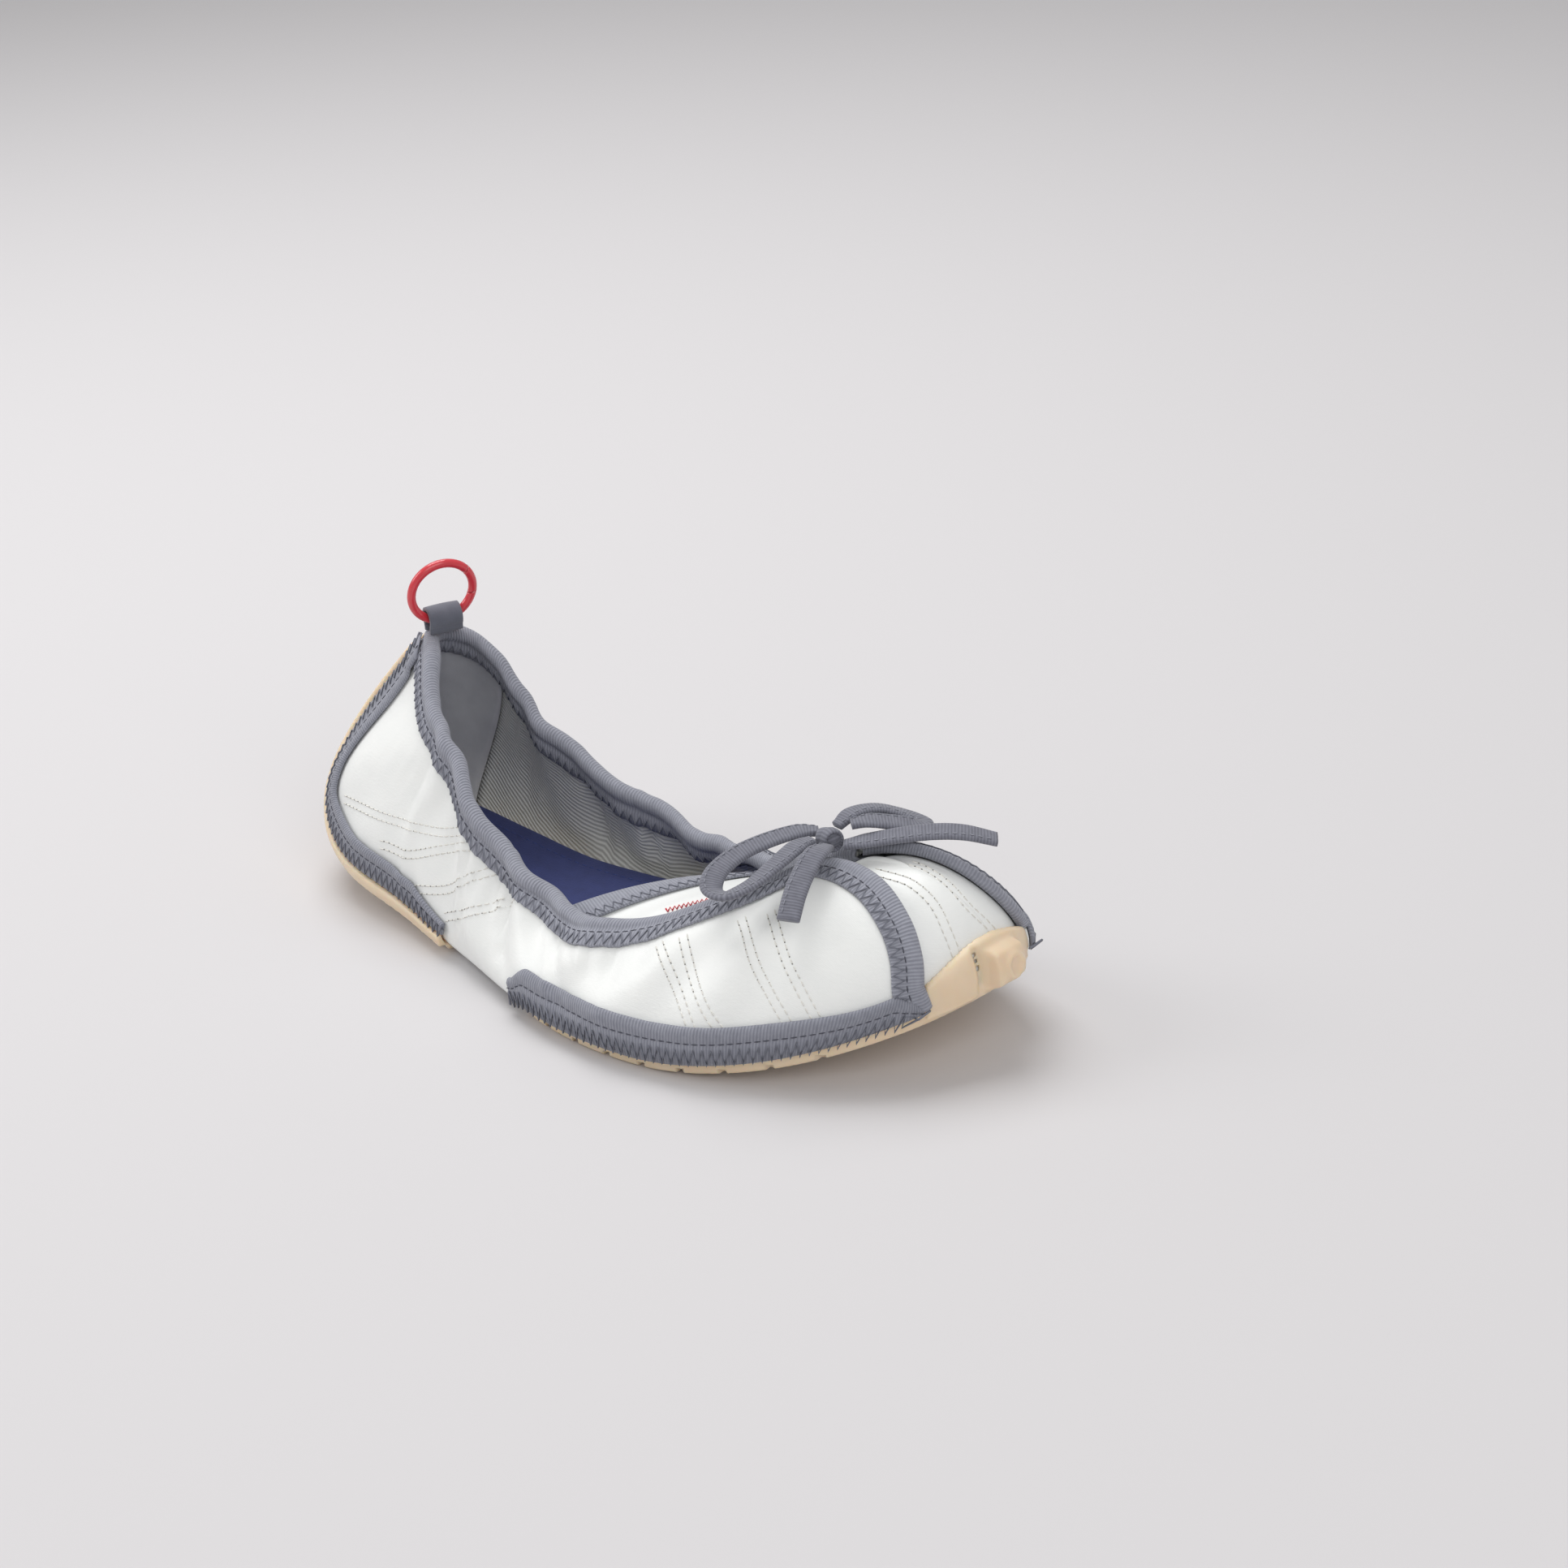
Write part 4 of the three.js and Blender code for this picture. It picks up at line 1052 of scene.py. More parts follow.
class Finishes:
    """All finishes of the slipper, made once."""

    def __init__(self) -> None:
        """Makes the materials."""
        self.satin = Satin("Duchess satin", "#f4f5f2", "#eceeec", 0.42, 0.15).make()
        # The second colour of the ribbed tapes, the bow tape and the twill is painted shade between their
        # ribs.
        self.tape = RibbedTape("Ribbed elastic binding", "#a5a7b2", "#767883", 0.85, 0.2, rib_mm=0.95).make()
        self.flange = RibbedTape("Sole edge binding", "#9c9ea9", "#6b6d78", 0.9, 0.2, rib_mm=0.95).make()
        self.twill = Twill("Cotton twill lining", "#f6f6f2", "#a2a39f", 0.85, 0.2, rib_mm=1.4).make()
        self.heel_cloth = Napped("Brushed heel lining", "#d2d3d6", "#bdbec2", 0.9, 0.3).make()
        self.footbed = Napped("Navy napped footbed cloth", "#35407a", "#262f60", 0.95, 0.12, 0.5, 0.16).make()
        self.foam = Napped("Footbed foam", "#c9cac5", "#b9bab5", 0.9).make()
        self.board = Napped("Fibre board", "#b8a58a", "#a08e74", 0.9).make()
        self.gum = GumRubber("Gum rubber", "#f0dcc2", "#e6cba8", 0.38).make()
        self.pull = Napped("Soft webbing", "#6b6e7a", "#565964", 0.9, 0.25, 0.5, 0.14).make()
        self.bow = RibbedTape("Folded bow tape", "#83848f", "#50515b", 0.85, 0.2, rib_mm=0.9,
                              depth_mm=0.07).make()
        self.enamel = Enamel("Red enamelled wire", "#dd3f49", "#cf323d", 0.3).make()
        self.grey_yarn = Yarn("Grey thread", "#8a8c97", "#6a6c77", 0.8).make()
        self.dark_yarn = Yarn("Dark grey thread", "#5b5c66", "#45464f", 0.85).make()
        self.pale_yarn = Yarn("Pale grey thread", "#a3a5ae", "#8c8e98", 0.8).make()
        self.cream_yarn = Yarn("Cream thread", "#ebe9e3", "#d8d6cf", 0.7).make()
        # Painted shade: grey marks between the stitches stand for the shade in the needle holes.
        self.needle_hole_shade = Napped("Needle holes", "#8f8d87", "#7a7872", 0.9).make()
        self.red_yarn = Yarn("Red thread", "#e0505a", "#c93843", 0.7).make()
        self.navy_yarn = Yarn("Navy thread", "#4a578f", "#38447a", 0.8).make()


@dataclass
class Workshop:
    """What every sub-assembly needs."""

    form: Form
    looks: Finishes
    zigzag: StitchTree
    running: StitchTree

    def rows(self, count: int, length: np.ndarray) -> np.ndarray:
        """Even heights from the sole to the edge."""
        return np.linspace(0, 1, count)[:, None] * length[None, :]


# ------------------------------------------------------------------ upper
@dataclass
class Columns:
    """Columns of a quarter, each from the sole to the cloth edge."""

    foot: np.ndarray
    edge: np.ndarray
    reach: np.ndarray
    length: np.ndarray

    @staticmethod
    def made(form: Form, side: Side, foot: np.ndarray, edge: np.ndarray, reach: np.ndarray) -> "Columns":
        """Columns with their lengths measured.

        Args:
            form: the form of the foot.
            side: the side of the foot.
            foot: places of the columns at the sole.
            edge: their places at the top.
            reach: how far up the wall they run, in mm.

        Returns:
            The columns.
        """
        foot, edge = on_side(side, foot), on_side(side, edge)
        k = np.linspace(0, 1, 13)[:, None]
        line = form.wall(mix(foot, edge, k), reach * k, 0 * k)
        length = np.linalg.norm(np.diff(line, axis=0), axis=2).sum(0)
        return Columns(foot, edge, reach, length)

    def at(self, form: Form, m: np.ndarray, d: np.ndarray) -> np.ndarray:
        """Points m mm up each column and d mm outside it."""
        k = m / self.length
        return trimmed(form.wall(mix(self.foot, self.edge, k), self.reach * k, d))


def rear_columns(form: Form, side: Side, start: float, end: float, step: float) -> Columns:
    """Columns behind the throat, where the cloth edge is the topline."""
    t = evenly(form, start, end, step)
    return Columns.made(form, side, t, t, form.length_at(on_side(side, t)))


def front_columns(form: Form, side: Side, start: float, end: float, count: int) -> Columns:
    """Columns along a quarter's front edge; start and end are shares of it.

    Args:
        form: the form of the foot.
        side: the side of the foot.
        start: share of the edge to start at.
        end: share to end at.
        count: how many columns.

    Returns:
        The columns.
    """
    q = np.linspace(start, end, count)
    edge = spline(FRONT_EDGE, q * (len(FRONT_EDGE) - 1), False)
    te = mix(THROAT, FRONT_END[side], edge[:, 0])
    tf = mix(THROAT, FRONT_END[side] + 0.12, q)
    return Columns.made(form, side, tf, te, edge[:, 1] * form.length_at(on_side(side, te)))


def joined(a: Columns, b: Columns) -> Columns:
    """Two runs of columns as one."""
    return Columns(*(np.concatenate([getattr(a, k), getattr(b, k)])
                     for k in ("foot", "edge", "reach", "length")))


def double_row(form: Form, side: Side, line: list, d: float, gap: float) -> list[np.ndarray]:
    """Two parallel rows over the form.

    Args:
        form: the form.
        side: which side the places are counted on.
        line: (place, share of the wall's height) of a few points of the row.
        d: distance outside the form.
        gap: distance between the rows, in mm.

    Returns:
        The two polylines.
    """
    k = np.linspace(0, 1, 48)
    t, share = spline(np.array(line), k * (len(line) - 1), False).T
    middle = form.wall(on_side(side, t), share * form.length_at(on_side(side, t)), d + 0 * t)
    ahead = unit(np.gradient(middle, axis=0))
    lifted = form.wall(on_side(side, t), share * form.length_at(on_side(side, t)), d + 1 + 0 * t)
    across = unit(np.cross(ahead, lifted - middle))
    return [form.snapped(middle + across * offset, on_side(side, t), share, d)
            for offset in (-gap / 2, gap / 2)]


def shortened(path: np.ndarray, by: float) -> np.ndarray:
    """A path without its first mm.

    Args:
        path: points along the path.
        by: length to leave out, in mm.

    Returns:
        The rest of the path.
    """
    run = run_along(path)
    keep = np.linspace(by, run[-1], len(path))
    return np.stack([np.interp(keep, run, path[:, axis]) for axis in range(3)], 1)


def run_along(points: np.ndarray) -> np.ndarray:
    """Distance along a row of points."""
    return np.concatenate([[0], np.cumsum(np.linalg.norm(np.diff(points, axis=0), axis=1))])


@dataclass
class Upper:
    """Quarters, their linings and the heel's stiffening."""

    shop: Workshop
    rows: int = 44
    step: float = 2.0
    stitch_pitch: float = 2.2
    stitch_gap: float = 2.5

    def _layer(self, name: str, columns: Columns, layer: tuple[float, float],
               material: bpy.types.Material, top: float = 0.0) -> bpy.types.Object:
        """One layer of cloth over a run of columns.

        Args:
            name: name of the piece.
            columns: the run of columns.
            layer: inner and outer face, in mm outside the form.
            material: its finish.
            top: how far it stops short of the edge, in mm.

        Returns:
            The piece.
        """
        form = self.shop.form
        m = self.shop.rows(self.rows, columns.length - top)
        outer, inner = columns.at(form, m, layer[1] + 0 * m), columns.at(form, m, layer[0] + 0 * m)
        u = run_along(outer[self.rows // 2])
        uv = np.stack([np.broadcast_to(u, m.shape), m - columns.length], -1)
        cloth = Cloth()
        cloth.shell(outer, inner, uv)
        return cloth.build(name, material)

    def quarter(self, side: Side) -> None:
        """The satin quarter of one side.

        Args:
            side: the side of the foot.
        """
        form = self.shop.form
        rear = rear_columns(form, side, HEEL_SEAM, THROAT - 0.02, self.step)
        front = front_columns(form, side, 0, 1, 60)
        piece = self._layer(f"satin_quarter_{side.value}", joined(rear, front), SATIN, self.shop.looks.satin)
        place(piece, Held.ARCH, "satin", (f"quarter_{side.value}",))

    def lining(self, side: Side) -> None:
        """The twill lining of one side.

        Args:
            side: the side of the foot.
        """
        columns = rear_columns(self.shop.form, side, 2.0, THROAT - 0.05, self.step)
        piece = self._layer(f"twill_lining_{side.value}", columns, LINING, self.shop.looks.twill)
        place(piece, Held.ARCH, "lining", (f"quarter_lining_{side.value}",))

    def heel(self) -> None:
        """The grey heel lining and the counter behind it."""
        form = self.shop.form
        for name, end, layer, top, slot, material in (
            ("heel_lining_cloth", 2.0, HEEL_LINING, 0.0, "grey_lining", self.shop.looks.heel_cloth),
            ("heel_counter_board", 1.6, LINING, 7.0, "board", self.shop.looks.board),
        ):
            t = evenly(form, -end, end, self.step)
            piece = self._layer(name, Columns(t, t, form.length_at(t), form.length_at(t)), layer, material,
                                top)
            place(piece, Held.HEEL, slot, ("heel_lining" if slot == "grey_lining" else "heel_counter",))

    def decoration(self) -> None:
        """The double rows of stitches that fan out over the quarters, with grey marks between the stitches as
        painted shade of the needle holes.
        """
        form = self.shop.form
        rows = {Side.LATERAL: LATERAL_ROWS, Side.MEDIAL: MEDIAL_ROWS}
        paths = [path for side, lines in rows.items() for line in lines
                 for path in double_row(form, side, line, SATIN[1] + 0.06, self.stitch_gap)]
        piece = self.shop.running.lay("quarter_stitch_rows", paths, paths, self.stitch_pitch, 1.9, 0.22,
                                      self.shop.looks.cream_yarn)
        place(piece, Held.ARCH, "satin")
        # Grey marks in the gaps between stitches: painted shade of the needle holes.
        holes = [shortened(path, self.stitch_pitch / 2) for path in paths]
        piece = self.shop.running.lay("quarter_needle_hole_shade", holes, holes, self.stitch_pitch, 0.55, 0.2,
                                      self.shop.looks.needle_hole_shade)
        place(piece, Held.ARCH, "satin")

    def build(self) -> None:
        """Makes all of it."""
        for side in Side:
            self.quarter(side)
            self.lining(side)
        self.heel()
        self.decoration()


# Stitch rows as (place, share of the wall's height) from the topline flange down to the sole band.
LATERAL_ROWS = [
    [(6.82, 0.75), (7.18, 0.39), (7.42, 0.16)],
    [(7.05, 0.76), (7.26, 0.5), (7.48, 0.3), (7.72, 0.15)],
    [(7.58, 0.77), (7.86, 0.5), (8.11, 0.33), (8.43, 0.14)],
    [(7.9, 0.73), (8.2, 0.48), (8.46, 0.31), (8.73, 0.14)],
    [(1.47, 0.28), (2.97, 0.54), (3.6, 0.8)],
    [(2.43, 0.28), (3.0, 0.39), (3.8, 0.8)],
    [(3.11, 0.2), (3.57, 0.37), (4.2, 0.8)],
    [(3.62, 0.19), (4.18, 0.45), (4.7, 0.8)],
]
MEDIAL_ROWS = [[(t, share) for t, share in row] for row in LATERAL_ROWS[:3] + LATERAL_ROWS[4:]]
VAMP_ROWS = [
    [(9.3, 0.9), (10.02, 0.82), (10.34, 0.66), (10.36, 0.42), (10.36, 0.23)],
    [(11.6, 0.94), (11.29, 0.82), (11.0, 0.56), (11.07, 0.3)],
]


# ------------------------------------------------------------------ bindings
@dataclass
class Bindings:
    """Ribbed tapes over the cloth edges, with their zigzag stitches."""

    shop: Workshop
    step: float = 0.9
    flange: float = 7.0
    ditch: float = 2.5
    roll: float = 3.2
    zigzag_pitch: float = 2.8
    zigzag_width: float = 3.3
    thread: float = 0.32
    band: float = 10.0

    def _topline_profile(self) -> tuple[np.ndarray, np.ndarray]:
        """Section of the topline binding as (height from the cloth edge, distance outside).

        Returns:
            The outer line from the outside flange over the roll to the inside flange, and the
            inner line back.
        """
        out, inside = TAPE[1], FLANGE_INSIDE
        middle = (out + inside) / 2
        radius = (out - inside) / 2 + 0.05
        turn = np.radians(np.linspace(-38, 218, 25))
        arc = np.stack([0.55 + radius * np.sin(turn), middle + radius * np.cos(turn)], 1)
        outside = [(-self.flange, out - 0.1), (-self.flange + 0.5, out + 0.05), (-5.0, out),
                   (-self.ditch - 0.5, out),
                   (-self.ditch, out - 0.35)]
        within = [(-self.ditch, inside + 0.35), (-self.ditch - 0.5, inside), (-5.0, inside),
                  (-self.flange, inside)]
        back = [(-self.flange, inside + 0.7), (-3.0, inside + 0.7), (0.3, inside + 0.8), (1.6, middle - 0.8),
                (1.6, middle + 0.8), (0.3, TAPE[0] - 0.1), (-3.0, TAPE[0]), (-self.flange, TAPE[0])]
        return np.array(outside + arc.tolist() + within), np.array(back)

    def topline(self) -> None:
        """The binding round the whole opening, with its elastic and stitches."""
        form, looks = self.shop.form, self.shop.looks
        t = evenly(form, -(THROAT - 0.03), THROAT - 0.03, self.step)
        length = form.length_at(t)
        outer, back = self._topline_profile()
        profile = np.vstack([outer, back])
        edge = form.wall(t, length, 0 * t)
        u = run_along(edge)
        m, d = length[:, None] + profile[None, :, 0], np.broadcast_to(profile[:, 1], (len(t), len(profile)))
        flange = np.isin(np.arange(len(profile)), [0, len(outer) - 1, len(outer), len(profile) - 1])
        m = m + 0.3 * flange * np.abs(np.sin(np.pi * u / self.zigzag_pitch))[:, None]
        rings = trimmed(form.wall(t[:, None], m, d))
        v = run_along(np.stack([profile[:, 0], profile[:, 1], 0 * profile[:, 0]], 1))
        cloth = Cloth()
        cloth.tube(rings, np.stack(np.broadcast_arrays(u[:, None], v[None, :]), -1))
        piece = cloth.build("topline_ribbed_binding", looks.tape)
        place(piece, Held.ARCH, "ribbed_tape", ("topline_binding",))
        self._elastic(t, length)
        centre = -(self.flange + self.ditch) / 2
        for where, d_thread in (("outside", TAPE[1] + 0.1), ("inside", FLANGE_INSIDE - 0.1)):
            self._zigzag(f"topline_zigzag_{where}", t, length + centre, d_thread, Held.ARCH,
                         self.zigzag_width)
        seam = form.wall(t, length - self.ditch, TAPE[1] - 0.25 + 0 * t)
        stitches = self.shop.running.lay("topline_seam_stitches", [seam], [edge - seam], 2.6, 2.0, 0.22,
                                         looks.dark_yarn)
        place(stitches, Held.ARCH, "ribbed_tape")

    def _elastic(self, t: np.ndarray, length: np.ndarray) -> None:
        """The covered elastic inside the roll.

        Args:
            t: places round the foot, in stations.
            length: length of the wall at each place, in mm.
        """
        angle = np.linspace(0, 2 * np.pi, 9)[:-1]
        keep = slice(None, None, 3)
        m = length[keep, None] + 1.35 + 0.85 * np.cos(angle)
        d = (SATIN[1] + HEEL_LINING[0]) / 2 + 0.85 * np.sin(angle) + 0 * m
        rings = self.shop.form.wall(t[keep, None], m, d)
        cloth = Cloth()
        cloth.tube(rings, np.stack(np.broadcast_arrays(t[keep, None], angle[None, :]), -1))
        place(cloth.build("covered_elastic", self.shop.looks.foam), Held.ARCH, "elastic",
              ("topline_elastic",))

    def _zigzag(self, name: str, t: np.ndarray, s: np.ndarray, d: float, held: Held, width: float) -> None:
        """Zigzag stitches along the wall at heights s.

        Args:
            name: name of the piece.
            t: places round the foot, in stations.
            s: heights up the wall, in mm.
            d: distance outside the form, in mm.
            held: how it follows the frame.
            width: swing of the thread, in mm.
        """
        form = self.shop.form
        path = form.wall(t, s, d + 0 * t)
        across = form.wall(t, s + 0.5, d + 0 * t) - form.wall(t, s - 0.5, d + 0 * t)
        piece = self.shop.zigzag.lay(name, [path], [across], self.zigzag_pitch, width, self.thread,
                                     self.shop.looks.grey_yarn)
        place(piece, held, "ribbed_tape")

    def _front_edge(self, side: Side) -> tuple[np.ndarray, np.ndarray, np.ndarray]:
        """The quarter's front edge down to the sole: its places, heights and inward directions.

        Args:
            side: the side of the foot.

        Returns:
            Places, heights and inward directions.
        """
        form = self.shop.form
        columns = front_columns(form, side, 0.0, 1.0, 200)
        down = np.linspace(1, 0.3 if side is Side.LATERAL else 0.8, 40)[1:]
        last = -1
        t = np.concatenate([columns.edge, mix(columns.foot[last], columns.edge[last], down)])
        s = np.concatenate([columns.reach, columns.reach[last] * down])
        line = form.wall(t, s, TAPE[1] + 0 * t)
        run = run_along(line)
        even = np.linspace(0, run[-1], int(run[-1] / 0.7))
        t, s = np.interp(even, run, t), np.interp(even, run, s)
        line = form.wall(t, s, TAPE[1] + 0 * t)
        ahead = np.gradient(line, axis=0)
        for _ in range(6):
            ahead[1:-1] = (ahead[:-2] + ahead[1:-1] + ahead[2:]) / 3
        lift = form.wall(t, s, TAPE[1] + 1 + 0 * t) - line
        inward = unit(np.cross(lift, unit(ahead)))
        return t, s, inward if side is Side.MEDIAL else -inward

    def _beside(self, edge: tuple[np.ndarray, np.ndarray, np.ndarray], reach: np.ndarray,
                d: np.ndarray) -> np.ndarray:
        """Points beside the front edge: reach mm beyond it (negative: onto the quarter), d outside.

        Args:
            edge: the front edge's places, heights and inward directions.
            reach: distance beyond the edge, in mm.
            d: distance outside the form, in mm.

        Returns:
            The points.
        """
        form = self.shop.form
        t, s, inward = edge
        rows = [form.snapped(form.wall(t, s, far + 0 * t) - inward * m, t, s / form.length_at(t), far)
                for m, far in zip(reach, d)]
        return trimmed(np.stack(rows, 1))

    def front(self, side: Side) -> None:
        """The binding down a quarter's front edge, lying on the vamp.

        Args:
            side: the side of the foot.
        """
        looks = self.shop.looks
        edge = self._front_edge(side)
        out, rest = TAPE[1], INNER[1] + 2 * SEAM
        arc = [(2.45 * math.sin(a), out - 1.45 + 1.75 * math.cos(a))
               for a in np.radians(np.linspace(-35, 128, 15))]
        profile = np.array([(-6.2, out - 0.1), (-5.8, out + 0.05), (-4.6, out), (-2.4, out),
                            (-1.9, out - 0.3)]
                           + [(m + 0.7, d) for m, d in arc]
                           + [(2.4, rest), (0.35, rest), (0.35, TAPE[0]), (-3, TAPE[0]), (-6.2, TAPE[0])])
        rings = self._beside(edge, profile[:, 0], profile[:, 1])
        u = run_along(rings[:, 3])
        v = run_along(np.stack([profile[:, 0], profile[:, 1], 0 * profile[:, 0]], 1))
        cloth = Cloth()
        cloth.tube(rings, np.stack(np.broadcast_arrays(u[:, None], v[None, :]), -1))
        place(cloth.build(f"front_ribbed_binding_{side.value}", looks.tape), Held.FOREFOOT, "ribbed_tape",
              (f"front_binding_{side.value}",))
        low, path, high, seam = np.moveaxis(
            self._beside(edge, np.array([-5.5, -4.2, -2.9, -1.95]), np.array([4.0, 4.1, 4.0, 3.85])), 1, 0)
        piece = self.shop.zigzag.lay(f"front_zigzag_{side.value}", [path], [high - low], self.zigzag_pitch,
                                     self.zigzag_width, self.thread, looks.grey_yarn)
        place(piece, Held.FOREFOOT, "ribbed_tape")
        piece = self.shop.running.lay(f"front_seam_stitches_{side.value}", [seam], [high - low], 2.6, 2.0,
                                      0.22,
                                      looks.dark_yarn)
        place(piece, Held.FOREFOOT, "ribbed_tape")

    def sole_band(self, side: Side) -> None:
        """The binding along the forefoot pod's edge: zigzag beside the rubber, plain above.

        Args:
            side: the side of the foot.
        """
        form, looks = self.shop.form, self.shop.looks
        t = np.linspace(4.6, THROAT, 400)
        x = form.wall(on_side(side, t), 0 * t, 0 * t)[:, 0]
        start = t[x > FORE_POD_START][0]
        rear = rear_columns(form, side, start, THROAT - 0.02, self.step)
        columns = joined(rear, front_columns(form, side, 0, 0.995, 70))
        band = np.minimum(self.band, 0.42 * columns.length)
        band = band * (0.55 + 0.45 * smooth(np.arange(len(band)), 0, 9))
        share = band / self.band
        profile = np.array([(-0.2, 3.3), (-0.1, 4.1), (0.5, 4.35), (3, 4.3), (5.7, 4.25), (6.2, 4.0),
                            (6.7, 4.35), (8.2, 4.75),
                            (9.6, 4.5), (10.3, 3.9), (10.2, 3.2), (6, 3.2), (3, 3.2)])
        m = profile[None, :, 0] * share[:, None]
        wide = Columns(*(getattr(columns, k)[:, None] for k in ("foot", "edge", "reach", "length")))
        rings = wide.at(form, m, np.broadcast_to(profile[:, 1], m.shape))
        u = run_along(rings[:, 3])
        v = profile[:, 0]
        cloth = Cloth()
        cloth.tube(rings, np.stack(np.broadcast_arrays(u[:, None], v[None, :]), -1))
        place(cloth.build(f"sole_ribbed_binding_{side.value}", looks.flange), Held.FOREFOOT, "ribbed_tape",
              (f"sole_binding_{side.value}",))
        path = columns.at(form, 3.1 * share, 4.45 + 0 * share)
        across = columns.at(form, 3.6 * share, 4.4 + 0 * share) - columns.at(form, 2.6 * share, 4.4 + 0
                                                                             * share)
        piece = self.shop.zigzag.lay(f"sole_zigzag_{side.value}", [path], [across], 2.7, 4.9, 0.38,
                                     looks.grey_yarn)
        place(piece, Held.FOREFOOT, "ribbed_tape")
        seam = columns.at(form, 6.2 * share, 4.1 + 0 * share)
        piece = self.shop.running.lay(f"sole_seam_stitches_{side.value}", [seam], [across], 2.6, 2.0, 0.2,
                                      looks.dark_yarn)
        place(piece, Held.FOREFOOT, "ribbed_tape")

    def heel_band(self, side: Side) -> None:
        """The binding beside the heel rubber, from the topline down and along the sole.

        Args:
            side: the side of the foot.
        """
        looks = self.shop.looks
        q = np.linspace(0, 1, 260)
        knots = np.array([(*HEEL_RUBBER_EDGE[0], *HEEL_TAPE_REACH[0])]
                         + [(*HEEL_RUBBER_EDGE[i + 1], *reach) for i, reach in enumerate(HEEL_TAPE_REACH)])
        t0, k0, reach_t, reach_k = spline(knots, q * (len(knots) - 1), False).T
        t0, k0 = t0 + 0.03, k0 + 0.008
        reach_k = reach_k * (1 - 0.5 * smooth(q, 0.93, 1))
        profile = np.array([(0, 3.6), (0.01, 4.3), (0.06, 4.5), (0.3, 4.5), (0.56, 4.45), (0.62, 4.2),
                            (0.68, 4.5),
                            (0.82, 4.9), (0.96, 4.6), (1.0, 4.0), (0.98, 3.5), (0.6, 3.5), (0.3, 3.5)])
        rings = self._across(side, t0, k0, reach_t, reach_k, profile[:, 0], profile[:, 1])
        u = run_along(rings[:, 3])
        cloth = Cloth()
        cloth.tube(rings, np.stack(np.broadcast_arrays(u[:, None], 10 * profile[None, :, 0]), -1))
        place(cloth.build(f"heel_ribbed_binding_{side.value}", looks.flange), Held.HEEL, "ribbed_tape",
              (f"heel_binding_{side.value}",))
        line = self._across(side, t0, k0, reach_t, reach_k, np.array([0.1, 0.3, 0.5, 0.62]),
                            np.array([4.5, 4.6, 4.5, 4.3]))
        piece = self.shop.zigzag.lay(f"heel_zigzag_{side.value}", [line[:, 1]], [line[:, 2] - line[:, 0]],
                                     2.7, 4.8, 0.38,
                                     looks.grey_yarn)
        place(piece, Held.HEEL, "ribbed_tape")
        piece = self.shop.running.lay(f"heel_seam_stitches_{side.value}", [line[:, 3]],
                                      [line[:, 2] - line[:, 0]], 2.6, 2.0,
                                      0.2, looks.dark_yarn)
        place(piece, Held.HEEL, "ribbed_tape")

    def _across(self, side: Side, t0: np.ndarray, k0: np.ndarray, reach_t: np.ndarray,
                reach_k: np.ndarray, share: np.ndarray, d: np.ndarray) -> np.ndarray:
        """Points at shares of the heel binding's width.

        Args:
            side: the side of the foot.
            t0: places of the rubber's edge.
            k0: shares of the wall's length there.
            reach_t: the binding's width, in places.
            reach_k: the binding's width, in shares of the wall.
            share: shares of that width.
            d: distance outside the form, in mm.

        Returns:
            The points, cut level with the sole.
        """
        t = on_side(side, t0[:, None] + share[None, :] * reach_t[:, None])
        k = k0[:, None] + share[None, :] * reach_k[:, None]
        over = 0.95 * smooth(k * self.shop.form.length_at(t), self.shop.form.length_at(t) - 11,
                             self.shop.form.length_at(t) - 7.5)
        return trimmed(self.shop.form.wall(t, k * self.shop.form.length_at(t), d + over))

    def build(self) -> None:
        """Makes all bindings."""
        self.topline()
        for side in Side:
            self.front(side)
            self.sole_band(side)
            self.heel_band(side)


# The edge of the heel rubber: (place beside the back seam, share of the wall's height), and how
# far the heel binding reaches beyond each of its points.
HEEL_RUBBER_EDGE = [
    (0.3, 0.99), (0.31, 0.84), (0.33, 0.7), (0.37, 0.55), (0.45, 0.4), (0.62, 0.25), (0.95, 0.13),
    (1.7, 0.08), (2.6, 0.075), (3.6, 0.075),
]
HEEL_TAPE_REACH = [
    (0.56, -0.05), (0.56, -0.01), (0.55, 0.02), (0.53, 0.05), (0.46, 0.09), (0.32, 0.12), (0.12, 0.14),
    (0.04, 0.15), (0.02, 0.15),
]


